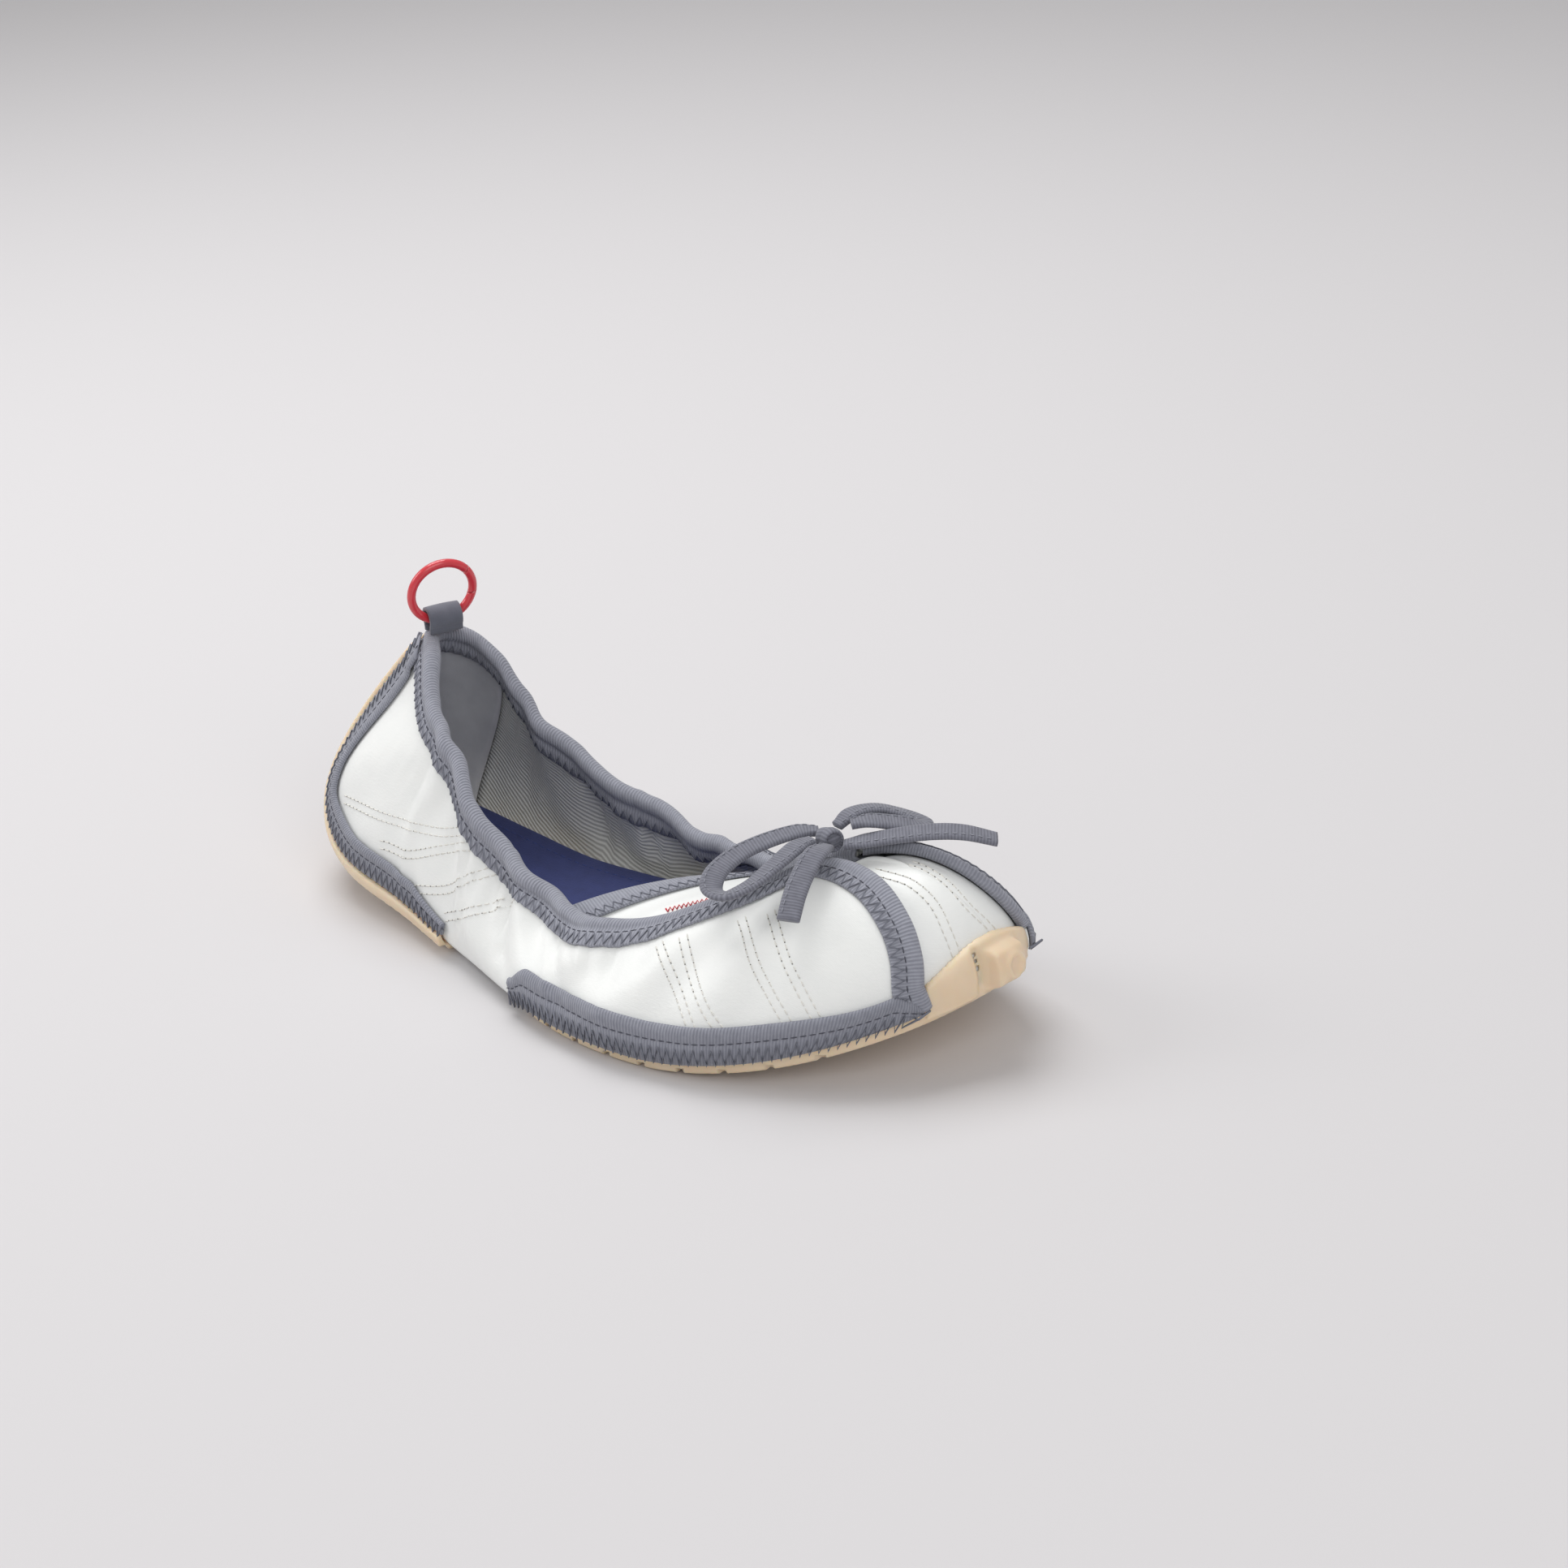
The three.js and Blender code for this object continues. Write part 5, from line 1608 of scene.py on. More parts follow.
# ------------------------------------------------------------------ vamp and tongue
@dataclass
class Vamp:
    """The satin over the toes with the tongue that runs back from it, and their inner layers."""

    shop: Workshop
    tongue_crown: float = 4.0
    throat_crown: float = 1.5
    rows: int = 26

    def _sections(self, tongue: int, front: int) -> np.ndarray:
        """Cross sections from the tongue's rear edge to the toe.

        Args:
            tongue: how many over the tongue.
            front: how many from the throat to the toe.

        Returns:
            One row each of outer place, inner place, low, high, inset and crown.
        """
        length = self.shop.form.length_at
        k = np.linspace(0, 1, tongue, endpoint=False)
        tl, tm = mix(TONGUE_END[0], THROAT, k), TURNS - mix(TONGUE_END[1], THROAT, k)
        low = np.minimum(length(tl), length(tm)) - 16
        rear = np.stack([tl, tm, low, mix(2, 0, k), TONGUE_DEPTH + 0 * k,
                         mix(self.tongue_crown, self.throat_crown, k)], 1)
        k = np.linspace(0, 1, front)
        tl, tm = mix(THROAT, TOE, k), TURNS - mix(THROAT, TURNS - TOE, k)
        settled = smooth(tl, THROAT, 9.0)
        low = np.maximum(0, mix(length(tl) - 16, 0 * tl, settled))
        ahead = np.stack([tl, tm, low, 0 * k, TONGUE_DEPTH * (1 - settled), self.throat_crown * (1 - k)], 1)
        return np.vstack([rear, ahead])

    def _section(self, cuts: np.ndarray, w: np.ndarray, d: float) -> np.ndarray:
        """Points of each section at w: 0 to 1 up the outer wall, to 2 across, to 3 down the inner.

        Args:
            cuts: the sections.
            w: places across each section.
            d: distance outside the form, in mm.

        Returns:
            The points.
        """
        form = self.shop.form
        tl, tm, low, high, inset, crown = (cuts[:, i, None] for i in range(6))

        def wall(t: np.ndarray, k: np.ndarray) -> np.ndarray:
            """Points at share k of the wall between its two margins."""
            return form.wall(t + 0 * k, mix(low, form.length_at(t) - high, k), d - inset + 0 * k)

        up, down = wall(tl, np.clip(w, 0, 1)[None, :]), wall(tm, np.clip(3 - w, 0, 1)[None, :])
        bridge = np.clip(w - 1, 0, 1)[None, :, None]
        across = mix(wall(tl, np.ones((1, len(w)))), wall(tm, np.ones((1, len(w)))), bridge)
        across[..., 2] += crown * 4 * bridge[..., 0] * (1 - bridge[..., 0])
        w = w[None, :, None]
        return np.where(w <= 1, up, np.where(w >= 2, down, across))

    def _points(self, cuts: np.ndarray, w: np.ndarray, d: float) -> np.ndarray:
        """The layer's points, offset along the walls over the toes and along the tongue behind.

        Args:
            cuts: the sections.
            w: places across each section.
            d: distance outside the form, in mm.

        Returns:
            The points.
        """
        on_form = trimmed(self._section(cuts, w, d))
        base = self._section(cuts, w, 0.0)
        along = (self._section(cuts, np.minimum(w + 0.12, 3), 0.0)
                 - self._section(cuts, np.maximum(w - 0.12, 0), 0.0))
        normal = unit(np.cross(np.array([1.0, 0, 0]), along))
        share = (cuts[:, 4] / TONGUE_DEPTH)[:, None, None]
        return mix(on_form, base + normal * d, share)

    def _layer(self, name: str, cuts: np.ndarray, layer: tuple[float, float],
               material: bpy.types.Material, smoothing: int = 0) -> bpy.types.Object:
        """One layer over the given sections.

        Args:
            name: name of the piece.
            cuts: the sections.
            layer: inner and outer face, in mm outside the form.
            material: its finish.
            smoothing: rounds of smoothing; not used.

        Returns:
            The piece.
        """
        w = np.concatenate([np.linspace(0, 1, self.rows), np.linspace(1, 2, 14)[1:-1],
                            np.linspace(2, 3, self.rows)])
        outer, inner = self._points(cuts, w, layer[1]), self._points(cuts, w, layer[0])
        u = run_along(outer[:, self.rows + 6])[:, None]
        v = np.stack([run_along(row) for row in outer])
        v = v - v[:, [self.rows + 6]]
        cloth = Cloth()
        cloth.shell(outer, inner, np.stack(np.broadcast_arrays(u, v), -1))
        return cloth.build(name, material)

    def build(self) -> None:
        """Makes the layers, the tongue's binding and the stitches."""
        looks, cuts = self.shop.looks, self._sections(50, 90)
        place(self._layer("satin_vamp", cuts, INNER, looks.satin), Held.FOREFOOT, "satin", ("vamp",))
        place(self._layer("vamp_twill_lining", cuts, VAMP_LINING, looks.twill), Held.FOREFOOT, "lining",
              ("vamp_lining",))
        puff = cuts[cuts[:, 0] > 9.5]
        place(self._layer("toe_puff_board", puff, PUFF, looks.board), Held.FOREFOOT, "board", ("toe_puff",))
        self._tongue_binding(cuts)
        self._stitches(cuts)

    def _tongue_binding(self, cuts: np.ndarray) -> None:
        """The tape along the tongue's rear edge.

        Args:
            cuts: the sections; not used.
        """
        looks = self.shop.looks
        rear = self._sections(120, 4)[:15]
        w = np.linspace(0.02, 2.98, 240)
        outer, inner = self._points(rear, w, INNER[1] + SEAM + 0.8), self._points(rear, w, INNER[1] + SEAM)
        bulge = np.sin(np.linspace(0, math.pi, len(rear)))[:, None, None]
        lift = unit(outer - inner)
        outer = outer + lift * 0.35 * bulge
        u = run_along(outer[4])[None, :]
        v = (np.arange(len(rear)) * 0.5)[:, None]
        cloth = Cloth()
        cloth.shell(outer, inner, np.stack(np.broadcast_arrays(u, v), -1))
        place(cloth.build("tongue_ribbed_binding", looks.tape), Held.FOREFOOT, "ribbed_tape",
              ("tongue_binding",))
        line = outer[11] + lift[11] * 0.1
        piece = self.shop.zigzag.lay("tongue_zigzag", [line], [outer[14] - outer[8]], 2.8, 2.4, 0.24,
                                     looks.grey_yarn)
        place(piece, Held.FOREFOOT, "ribbed_tape")

    def _stitches(self, cuts: np.ndarray) -> None:
        """Red running stitches on the tongue and the double rows over the toes, with grey marks between the
        toe stitches as painted shade of the needle holes.

        Args:
            cuts: the sections.
        """
        looks, form = self.shop.looks, self.shop.form
        w = np.linspace(0.6, 2.4, 181)
        tongue = cuts[:50]
        surface = self._points(tongue, w, INNER[1] + 0.1)
        red = []
        for line in RED_MARKS:
            wanted = spline(np.array(line, float), np.linspace(0, len(line) - 1, 24), False)
            gaps = np.linalg.norm(surface[None] - wanted[:, None, None], axis=-1).reshape(len(wanted), -1)
            section, place_ = np.unravel_index(gaps.argmin(1), surface.shape[:2])
            k = np.linspace(-1, 1, len(wanted))
            at, across = (np.polyval(np.polyfit(k, value, 2), k) for value in (section, w[place_]))
            rows = np.stack([np.interp(at, np.arange(len(tongue)), tongue[:, i]) for i in range(6)], 1)
            red.append(np.array([self._points(rows[i:i + 1], across[i:i + 1], INNER[1] + 0.1)[0, 0]
                                 for i in range(len(rows))]))
        ups = [np.cross(np.gradient(line, axis=0), [0, 0, 1.0]) for line in red]
        piece = self.shop.zigzag.lay("tongue_red_stitches", red, ups, 1.35, 2.0, 0.3, looks.red_yarn)
        place(piece, Held.FOREFOOT, "satin")
        lines = [path for line in VAMP_ROWS
                 for path in double_row(form, Side.LATERAL, line, INNER[1] + 0.06, 2.5)]
        piece = self.shop.running.lay("vamp_stitch_rows", lines, lines, 2.2, 1.9, 0.22, looks.cream_yarn)
        place(piece, Held.FOREFOOT, "satin")
        # Grey marks in the gaps between stitches: painted shade of the needle holes.
        holes = [shortened(line, 1.1) for line in lines]
        piece = self.shop.running.lay("vamp_needle_hole_shade", holes, holes, 2.2, 0.55, 0.2, looks.needle_hole_shade)
        place(piece, Held.FOREFOOT, "satin")


# Middle lines of the red stitches on the tongue, in mm.
RED_MARKS = [[(155, -24.5, 33), (163, -18, 35), (172, -11, 38)],
             [(177, -5.5, 40), (180, -3, 41), (183, -0.5, 42)]]


# ------------------------------------------------------------------ soles and footbed
@dataclass
class Soles:
    """Gum pods, boards, foam and the footbed cloth."""

    shop: Workshop
    overhang: float = 2.0
    wall: float = 2.0
    knob: float = 3.2
    groove: float = 2.4
    pitch: float = 12.0
    voxel: float = 0.6

    def _plate(self, x: np.ndarray, inset: float, low: float, high: float, across: int, soften: float,
               cut: float | None = None, corner: float = 9.0) -> Cloth:
        """A flat piece that follows the outline, with rounded edges.

        Args:
            x: distances from the heel.
            inset: how far inside the outline.
            low: its underside.
            high: its upper side.
            across: points across each face.
            soften: radius of its edges.
            cut: where it is cut straight across the foot, if it is.
            corner: radius of the corners at the cut.

        Returns:
            The cloth, not yet built.
        """
        right, left = self.shop.form.sides(x, inset)
        if cut is not None:
            near = np.clip(corner - np.abs(x - cut), 0, corner)
            rounded = corner - np.sqrt(corner**2 - near**2)
            right, left = right + rounded, left - rounded
        turn = np.radians(np.linspace(90, -90, 9))
        height, middle = high - low, (high + low) / 2
        r = min(soften, height / 2)
        edge_y = r * np.cos(turn) - r
        edge_z = np.where(turn > 0, 1, -1) * (height / 2 - r) + r * np.sin(turn)
        k = np.linspace(0, 1, across)[1:-1]
        rings = []
        for at, a, b in zip(x, right, left):
            over = np.stack([mix(a + r, b - r, k), np.full(len(k), height / 2)], 1)
            y = np.concatenate([over[:, 0], b + edge_y, over[::-1, 0], a - edge_y])
            z = np.concatenate([over[:, 1], edge_z, -over[:, 1], edge_z[::-1]])
            rings.append(np.stack([np.full(len(y), at), y, z + middle + spring(at)], 1))
        rings = np.array(rings)
        cloth = Cloth()
        uv = rings[..., :2]
        cloth.tube(rings, uv)
        return cloth

    def _spans(self, start: float, end: float, inset: float, step: float) -> np.ndarray:
        """Distances from start to end that stay inside the outline, closer near its ends.

        Args:
            start: first distance from the heel.
            end: last distance.
            inset: how far the outline is moved inwards.
            step: usual spacing, in mm.

        Returns:
            The distances.
        """
        line = self.shop.form.outline(inset)[:, 0]
        first, last = max(start, line.min() + 0.25), min(end, line.max() - 0.25)
        count = int((last - first) / step)
        k = np.linspace(0, 1, count + 1)
        return mix(first, last, mix(k, 0.5 - 0.5 * np.cos(np.pi * k), 0.6))

    def _rubber_wall(self, t: np.ndarray, height: np.ndarray, inside: np.ndarray,
                     relief: np.ndarray) -> Cloth:
        """Rubber that climbs the wall, from below the sole's edge up to a height.

        Args:
            t: places along it.
            height: its height at each place.
            inside: distance of its inner face outside the form, at each place.
            relief: how far its face stands out, places by rows.

        Returns:
            The closed shell.
        """
        rows = relief.shape[1]
        k = np.linspace(0, 1, rows)[None, :]
        m = np.concatenate([np.full((len(t), 1), -3.2), np.full((len(t), 1), -SEAM), height[:, None] * k], 1)
        base = np.concatenate([np.full((len(t), 2), self.overhang - 0.8),
                               np.repeat(inside[:, None], rows, 1)], 1)
        lip = 1 - 0.75 * smooth(k, 0.88, 1.0)
        face = np.concatenate([self.wall + 0.7 * relief[:, :1], self.wall + relief[:, :1], self.wall * lip
                               + relief], 1)
        outer = self.shop.form.wall(t[:, None], m, base + np.maximum(face, 0.4))
        inner = self.shop.form.wall(t[:, None], m, base)
        for side in (outer, inner):
            side[..., 2] = np.maximum(side[..., 2], 0.8 + spring(side[..., 0]))
        cloth = Cloth()
        cloth.shell(outer, inner, np.stack([m, m], -1))
        return cloth

    def _moulded(self, name: str, shells: list[Cloth], cutters: list[np.ndarray]) -> bpy.types.Object:
        """Shells fused into one moulded part with cut notches.

        Args:
            name: the piece's name.
            shells: closed shells that overlap.
            cutters: for each notch, its centre and half size in mm.

        Returns:
            The fused piece.
        """

        pieces = [shell.build(f"{name}_{i}", self.shop.looks.gum) for i, shell in enumerate(shells)]
        work = bmesh.new()
        for piece in pieces:
            work.from_mesh(piece.data)
            bpy.data.objects.remove(piece)
        mesh = bpy.data.meshes.new(name)
        work.to_mesh(mesh)
        work.free()
        whole = bpy.data.objects.new(name, mesh)
        bpy.context.scene.collection.objects.link(whole)
        whole.modifiers.new("Fuse", "REMESH").mode = "VOXEL"
        whole.modifiers["Fuse"].voxel_size = self.voxel * MM
        knife = self._cutters(name, cutters)
        notch = whole.modifiers.new("Notch", "BOOLEAN")
        notch.object, notch.operation, notch.solver = knife, "DIFFERENCE", "EXACT"
        relax = whole.modifiers.new("Relax", "SMOOTH")
        relax.iterations, relax.factor = 2, 0.5
        applied(whole)
        bpy.data.objects.remove(knife)
        mesh = whole.data
        mesh.polygons.foreach_set("use_smooth", [True] * len(mesh.polygons))
        mesh.materials.clear()
        mesh.materials.append(self.shop.looks.gum)
        return whole

    def _cutters(self, name: str, boxes: list[tuple[np.ndarray, np.ndarray]]) -> bpy.types.Object:
        """Boxes that cut the tread, as one hidden object.

        Args:
            name: name of the object.
            boxes: middle and half size of each box, in mm.

        Returns:
            The object.
        """
        cloth = Cloth()
        for centre, half in boxes:
            ring = np.array([(-1, -1), (1, -1), (1, 1), (-1, 1)]) * half[1:]
            ends = [np.column_stack([np.full(4, s * half[0]), ring]) + centre for s in (-1, 1)]
            cloth.tube(np.array(ends), np.zeros((2, 4, 2)))
        knife = cloth.build(f"{name}_knife", self.shop.looks.gum)
        knife.hide_render = True
        return knife

    def _notches(self, start: float, end: float) -> list[tuple[np.ndarray, np.ndarray]]:
        """Side notches and shallow grooves across the underside of a pod.

        Args:
            start: the pod's first distance from the heel.
            end: its last distance.

        Returns:
            Middle and half size of each box to cut, in mm.
        """
        boxes = []
        for i in range(int((end - start) / self.pitch)):
            x = start + self.pitch * (i + 0.7)
            right, left = self.shop.form.sides(np.array([x]), -self.overhang)
            for y, inward in ((right[0], 1), (left[0], -1)):
                boxes.append((np.array([x, y, 0.6 + spring(x)]),
                              np.array([self.groove / 2, self.groove, self.groove / 2])))
                middle = y + inward * 13
                boxes.append((np.array([x + 4, middle, spring(x + 4)]), np.array([1.0, 8.0, 0.9])))
        return boxes

    def forefoot(self) -> None:
        """The forefoot pod with its toe bumper and knob."""
        x = self._spans(FORE_POD_START, LENGTH + 20, -self.overhang, 1.2)
        pod = self._plate(x, -self.overhang, 0, SOLE, 30, 1.2, FORE_POD_START)
        first, last = BUMPER_END[Side.LATERAL], TURNS - BUMPER_END[Side.MEDIAL]
        t = np.linspace(first, last, 150)
        k = (t - first) / (last - first)
        height = 8 + 5.2 * np.sin(np.pi * k)
        rise = np.linspace(0, 1, 44)[None, :]
        aside = t[:, None] - 10.95
        knob = self.knob * smooth(0.3 - np.abs(aside), 0, 0.09) * (1 - smooth(rise, 0.55, 0.8))
        oval = np.sqrt((aside / 0.12)**2 + ((rise - 0.3) / 0.17)**2)
        ridge = 1.1 * np.exp(-((oval - 1) / 0.3)**2)
        crease = -2.2 * np.exp(-((aside + 0.38) / 0.05)**2) * (1 - smooth(rise, 0.75, 0.95))
        lobe = 0.7 * smooth(-aside, 0.38, 0.5) * (1 - smooth(-aside, 0.75, 0.95)) * (1
                                                                                     - smooth(rise, 0.55, 1))
        bumper = self._rubber_wall(t, height, 0.7 + 0 * t, knob + ridge + crease + lobe)
        piece = self._moulded("gum_forefoot_sole", [pod, bumper], self._notches(FORE_POD_START + 6, 232))
        place(piece, Held.FOREFOOT, "gum", ("outsole_forefoot",))

    def heel(self) -> None:
        """The heel pod with the strip that climbs the back seam."""
        form = self.shop.form
        x = self._spans(-20, HEEL_POD_END, -self.overhang, 1.2)
        pod = self._plate(x, -self.overhang, 0, SOLE, 24, 1.2, HEEL_POD_END)
        edge = np.array(HEEL_RUBBER_EDGE)
        reach = edge[-1, 0]
        t = np.concatenate([-np.linspace(reach, 0.45, 60), np.linspace(-0.44, 0.44, 90),
                            np.linspace(0.45, reach, 60)])
        share = np.interp(np.abs(t), edge[:, 0], edge[:, 1])
        height = share * form.length_at(t)
        strip = self._rubber_wall(t, height, 3.5 + 0 * t, np.zeros((len(t), 60)))
        piece = self._moulded("gum_heel_sole", [pod, strip], self._notches(20, HEEL_POD_END))
        place(piece, Held.HEEL, "gum", ("outsole_heel",))

    def inside(self) -> None:
        """Arch cloth, foam and footbed, from the sole up."""
        looks = self.shop.looks
        foot = SOLE + SEAM
        foam_low = foot + 1.5 + SEAM
        sock_low = foam_low + 3.0 + SEAM
        layers = (
            ("arch_satin", HEEL_POD_END + 4.3, FORE_POD_START - 4.3, 1.0, foot, foot + 1.2, looks.satin,
             "satin",
             ("arch_cover",), Held.ARCH),
            ("footbed_foam_pad", 0, LENGTH, 5.0, foam_low, foam_low + 3.0, looks.foam, "foam",
             ("footbed_foam",), Held.ARCH),
            ("footbed_cloth", 0, LENGTH, 4.6, sock_low, sock_low + 0.8, looks.footbed, "footbed_fabric",
             ("sock_liner",),
             Held.ARCH),
        )
        for name, start, end, inset, low, high, look, slot, nodes, held in layers:
            cloth = self._plate(self._spans(start, end, inset, 1.6), inset, low, high, 34, 0.4)
            place(cloth.build(name, look), held, slot, nodes)
        self._footbed_stitches(sock_low + 0.85)

    def _footbed_stitches(self, top: float) -> None:
        """A row of stitches inside the footbed's edge.

        Args:
            top: height of the footbed, in mm.
        """
        line = self.shop.form.outline(10.0)
        line = np.vstack([line, line[:1]])
        line = line[::3]
        line[:, 2] = top + spring(line[:, 0])
        piece = self.shop.running.lay("footbed_stitches", [line], [line], 3.0, 2.3, 0.22,
                                      self.shop.looks.navy_yarn)
        place(piece, Held.ARCH, "footbed_fabric")

    def build(self) -> None:
        """Makes all of it."""
        self.forefoot()
        self.heel()
        self.inside()
        for node in ("insole_board_forefoot", "insole_board_heel"):
            board = frame["nodes"][node]
            board.data.materials.clear()
            board.data.materials.append(self.shop.looks.board)


# ------------------------------------------------------------------ bow
@dataclass(frozen=True)
class BowSizes:
    """Where the bow's tape runs, in mm."""

    knot: tuple[float, float, float] = (197, 0, 56)
    loop_lateral: tuple = (
        (192.2, 1.2, 56.5), (188, -3, 57), (183, -11, 56), (179, -19, 54), (178, -27, 51.5),
        (181, -32.5, 49.5),
        (186.5, -33, 49.5), (190.5, -27, 51.5), (192.5, -19, 54.5), (193.4, -10, 56.8), (194.6, -4.6, 56.6),
    )
    loop_medial: tuple = (
        (195.8, 5.2, 57.5), (197, 11, 59.5), (201, 17, 59.5), (207, 21.5, 57.5), (212.5, 22.5, 56.2),
        (213.5, 18.5, 57),
        (209, 13.5, 58.8), (204.5, 9, 60), (200.8, 5.2, 59.4),
    )
    tail_lateral: tuple = ((199.8, -4.4, 56), (201, -11, 57.5), (202.5, -18, 55.4), (204.5, -25, 52),
                           (207, -31.5, 47.5))
    tail_medial: tuple = (
        (202, 0.2, 55.4), (208, 4.6, 56.8), (215, 9.5, 58.2), (222, 15, 58.9), (229, 20, 58.5),
        (236, 25.5, 56),
    )


@dataclass
class Bow:
    """Folded tape in two loops, two tails and a wrapped knot."""

    shop: Workshop
    sizes: BowSizes = field(default_factory=BowSizes)
    width: float = 6.6
    folded: float = 5.0
    thickness: float = 1.9

    def _ribbon(self, name: str, route: np.ndarray, bank: float,
                closed_by: bool = False) -> tuple[bpy.types.Object, np.ndarray]:
        """A length of folded tape along a route.

        Args:
            name: the piece's name.
            route: given points, in mm.
            bank: how far the tape leans on its edge, in degrees.
            closed_by: whether the route comes back to the knot, so that both ends narrow.

        Returns:
            The tape and its centre line in mm.
        """
        centre = spline(route, np.linspace(0, len(route) - 1, 14 * (len(route) - 1)), False)
        tangent = unit(np.gradient(centre, axis=0))
        flat = unit(np.cross(tangent, [0, 0, 1.0]))
        up = unit(np.cross(flat, tangent))
        u = run_along(centre)
        lean = math.radians(bank) * np.sin(np.pi * u / u[-1] * (1 if closed_by else 0.9))
        lean = lean[:, None]
        wide, thick = flat * np.cos(lean) + up * np.sin(lean), up * np.cos(lean) - flat * np.sin(lean)
        pinch = 0.62 + 0.38 * smooth(u, 0, 6)
        if closed_by:
            pinch = pinch * (0.62 + 0.38 * smooth(u[-1] - u, 0, 6))
        angle = np.linspace(0, 2 * np.pi, 21)[:-1]
        half_w, half_t = self.width / 2 * pinch, self.thickness / 2 * (1.25 - 0.25 * pinch)
        squared = np.sign(np.cos(angle)) * np.abs(np.cos(angle))**0.55
        crown = np.sin(angle) * (1 + 0.22 * np.exp(-((np.abs(squared) - 0.82) / 0.12)**2))
        rings = (centre[:, None] + wide[:, None] * (half_w[:, None] * squared)[..., None]
                 + thick[:, None] * (half_t[:, None] * crown)[..., None])
        v = self.width * (squared + 1) / 2
        cloth = Cloth()
        cloth.tube(rings, np.stack(np.broadcast_arrays(u[:, None], v[None, :]), -1))
        tape = cloth.build(name, self.shop.looks.bow)
        seam = centre + wide * (half_w * 0.62)[:, None] + thick * (half_t * 1.12)[:, None]
        stitches = self.shop.running.lay(f"{name}_edge_stitches", [seam[4:-4]], [seam[4:-4]], 2.3, 1.5, 0.15,
                                         self.shop.looks.pale_yarn)
        place(stitches, Held.FOREFOOT, "lace")
        return tape, centre

    def _knot(self) -> bpy.types.Object:
        """Tape wrapped round the middle of the bow.

        Returns:
            The piece.
        """
        centre = np.array(self.sizes.knot)
        cloth = Cloth()
        angle = np.linspace(0, 2 * np.pi, 61)[:-1]
        section = np.linspace(0, 2 * np.pi, 17)[:-1]
        for tilt, radius, width, offset in ((20, 2.5, 2.6, -0.9), (-24, 2.75, 2.3, 1.1), (70, 2.3, 2.4, 0.2)):
            axis = unit(np.array([math.cos(math.radians(tilt)), math.sin(math.radians(tilt)), 0.12]))
            a = unit(np.cross(axis, [0, 0, 1.0]))
            b = np.cross(axis, a)
            ring = a[None, :] * np.cos(angle)[:, None] + b[None, :] * np.sin(angle)[:, None]
            out = ring[:, None] * (radius + 0.75 * np.sin(section))[None, :, None]
            side = axis[None, None, :] * (width * np.cos(section) * 0.9 + offset)[None, :, None]
            rings = centre + out + side
            grid = np.concatenate([rings, rings[:1]])
            uv = np.stack(np.broadcast_arrays((angle * radius)[:, None], (section * 1.0)[None, :]), -1)
            cloth.grid(grid, np.concatenate([uv, uv[:1]]), wrap=True)
        core = []
        for latitude in np.linspace(-88, 88, 15):
            r, h = math.cos(math.radians(latitude)), math.sin(math.radians(latitude))
            core.append(centre + np.stack([3.0 * r * np.cos(angle), 3.0 * r * np.sin(angle),
                                           np.full(len(angle), 2.8 * h)], 1))
        cloth.tube(np.array(core), np.zeros((15, len(angle), 2)))
        return cloth.build("bow_wrapped_knot", self.shop.looks.bow)

    def build(self) -> None:
        """Makes the bow."""
        knot = place(self._knot(), Held.FOREFOOT, "lace", ("bow_knot",))
        for part, bank, returns in (("loop_lateral", 14, True), ("loop_medial", 14, True),
                                    ("tail_lateral", 10, False),
                                    ("tail_medial", -12, False)):
            route = np.array(getattr(self.sizes, part), float)
            tape, centre = self._ribbon(f"bow_tape_{part}", route, bank, returns)
            place(tape, Held.FOREFOOT, "lace", (f"bow_{part}",))
            line = to_metres(centre)
            length = float(run_along(line)[-1])
            tuple(line[0])
        LOG.info("bow knot %s", knot.name)


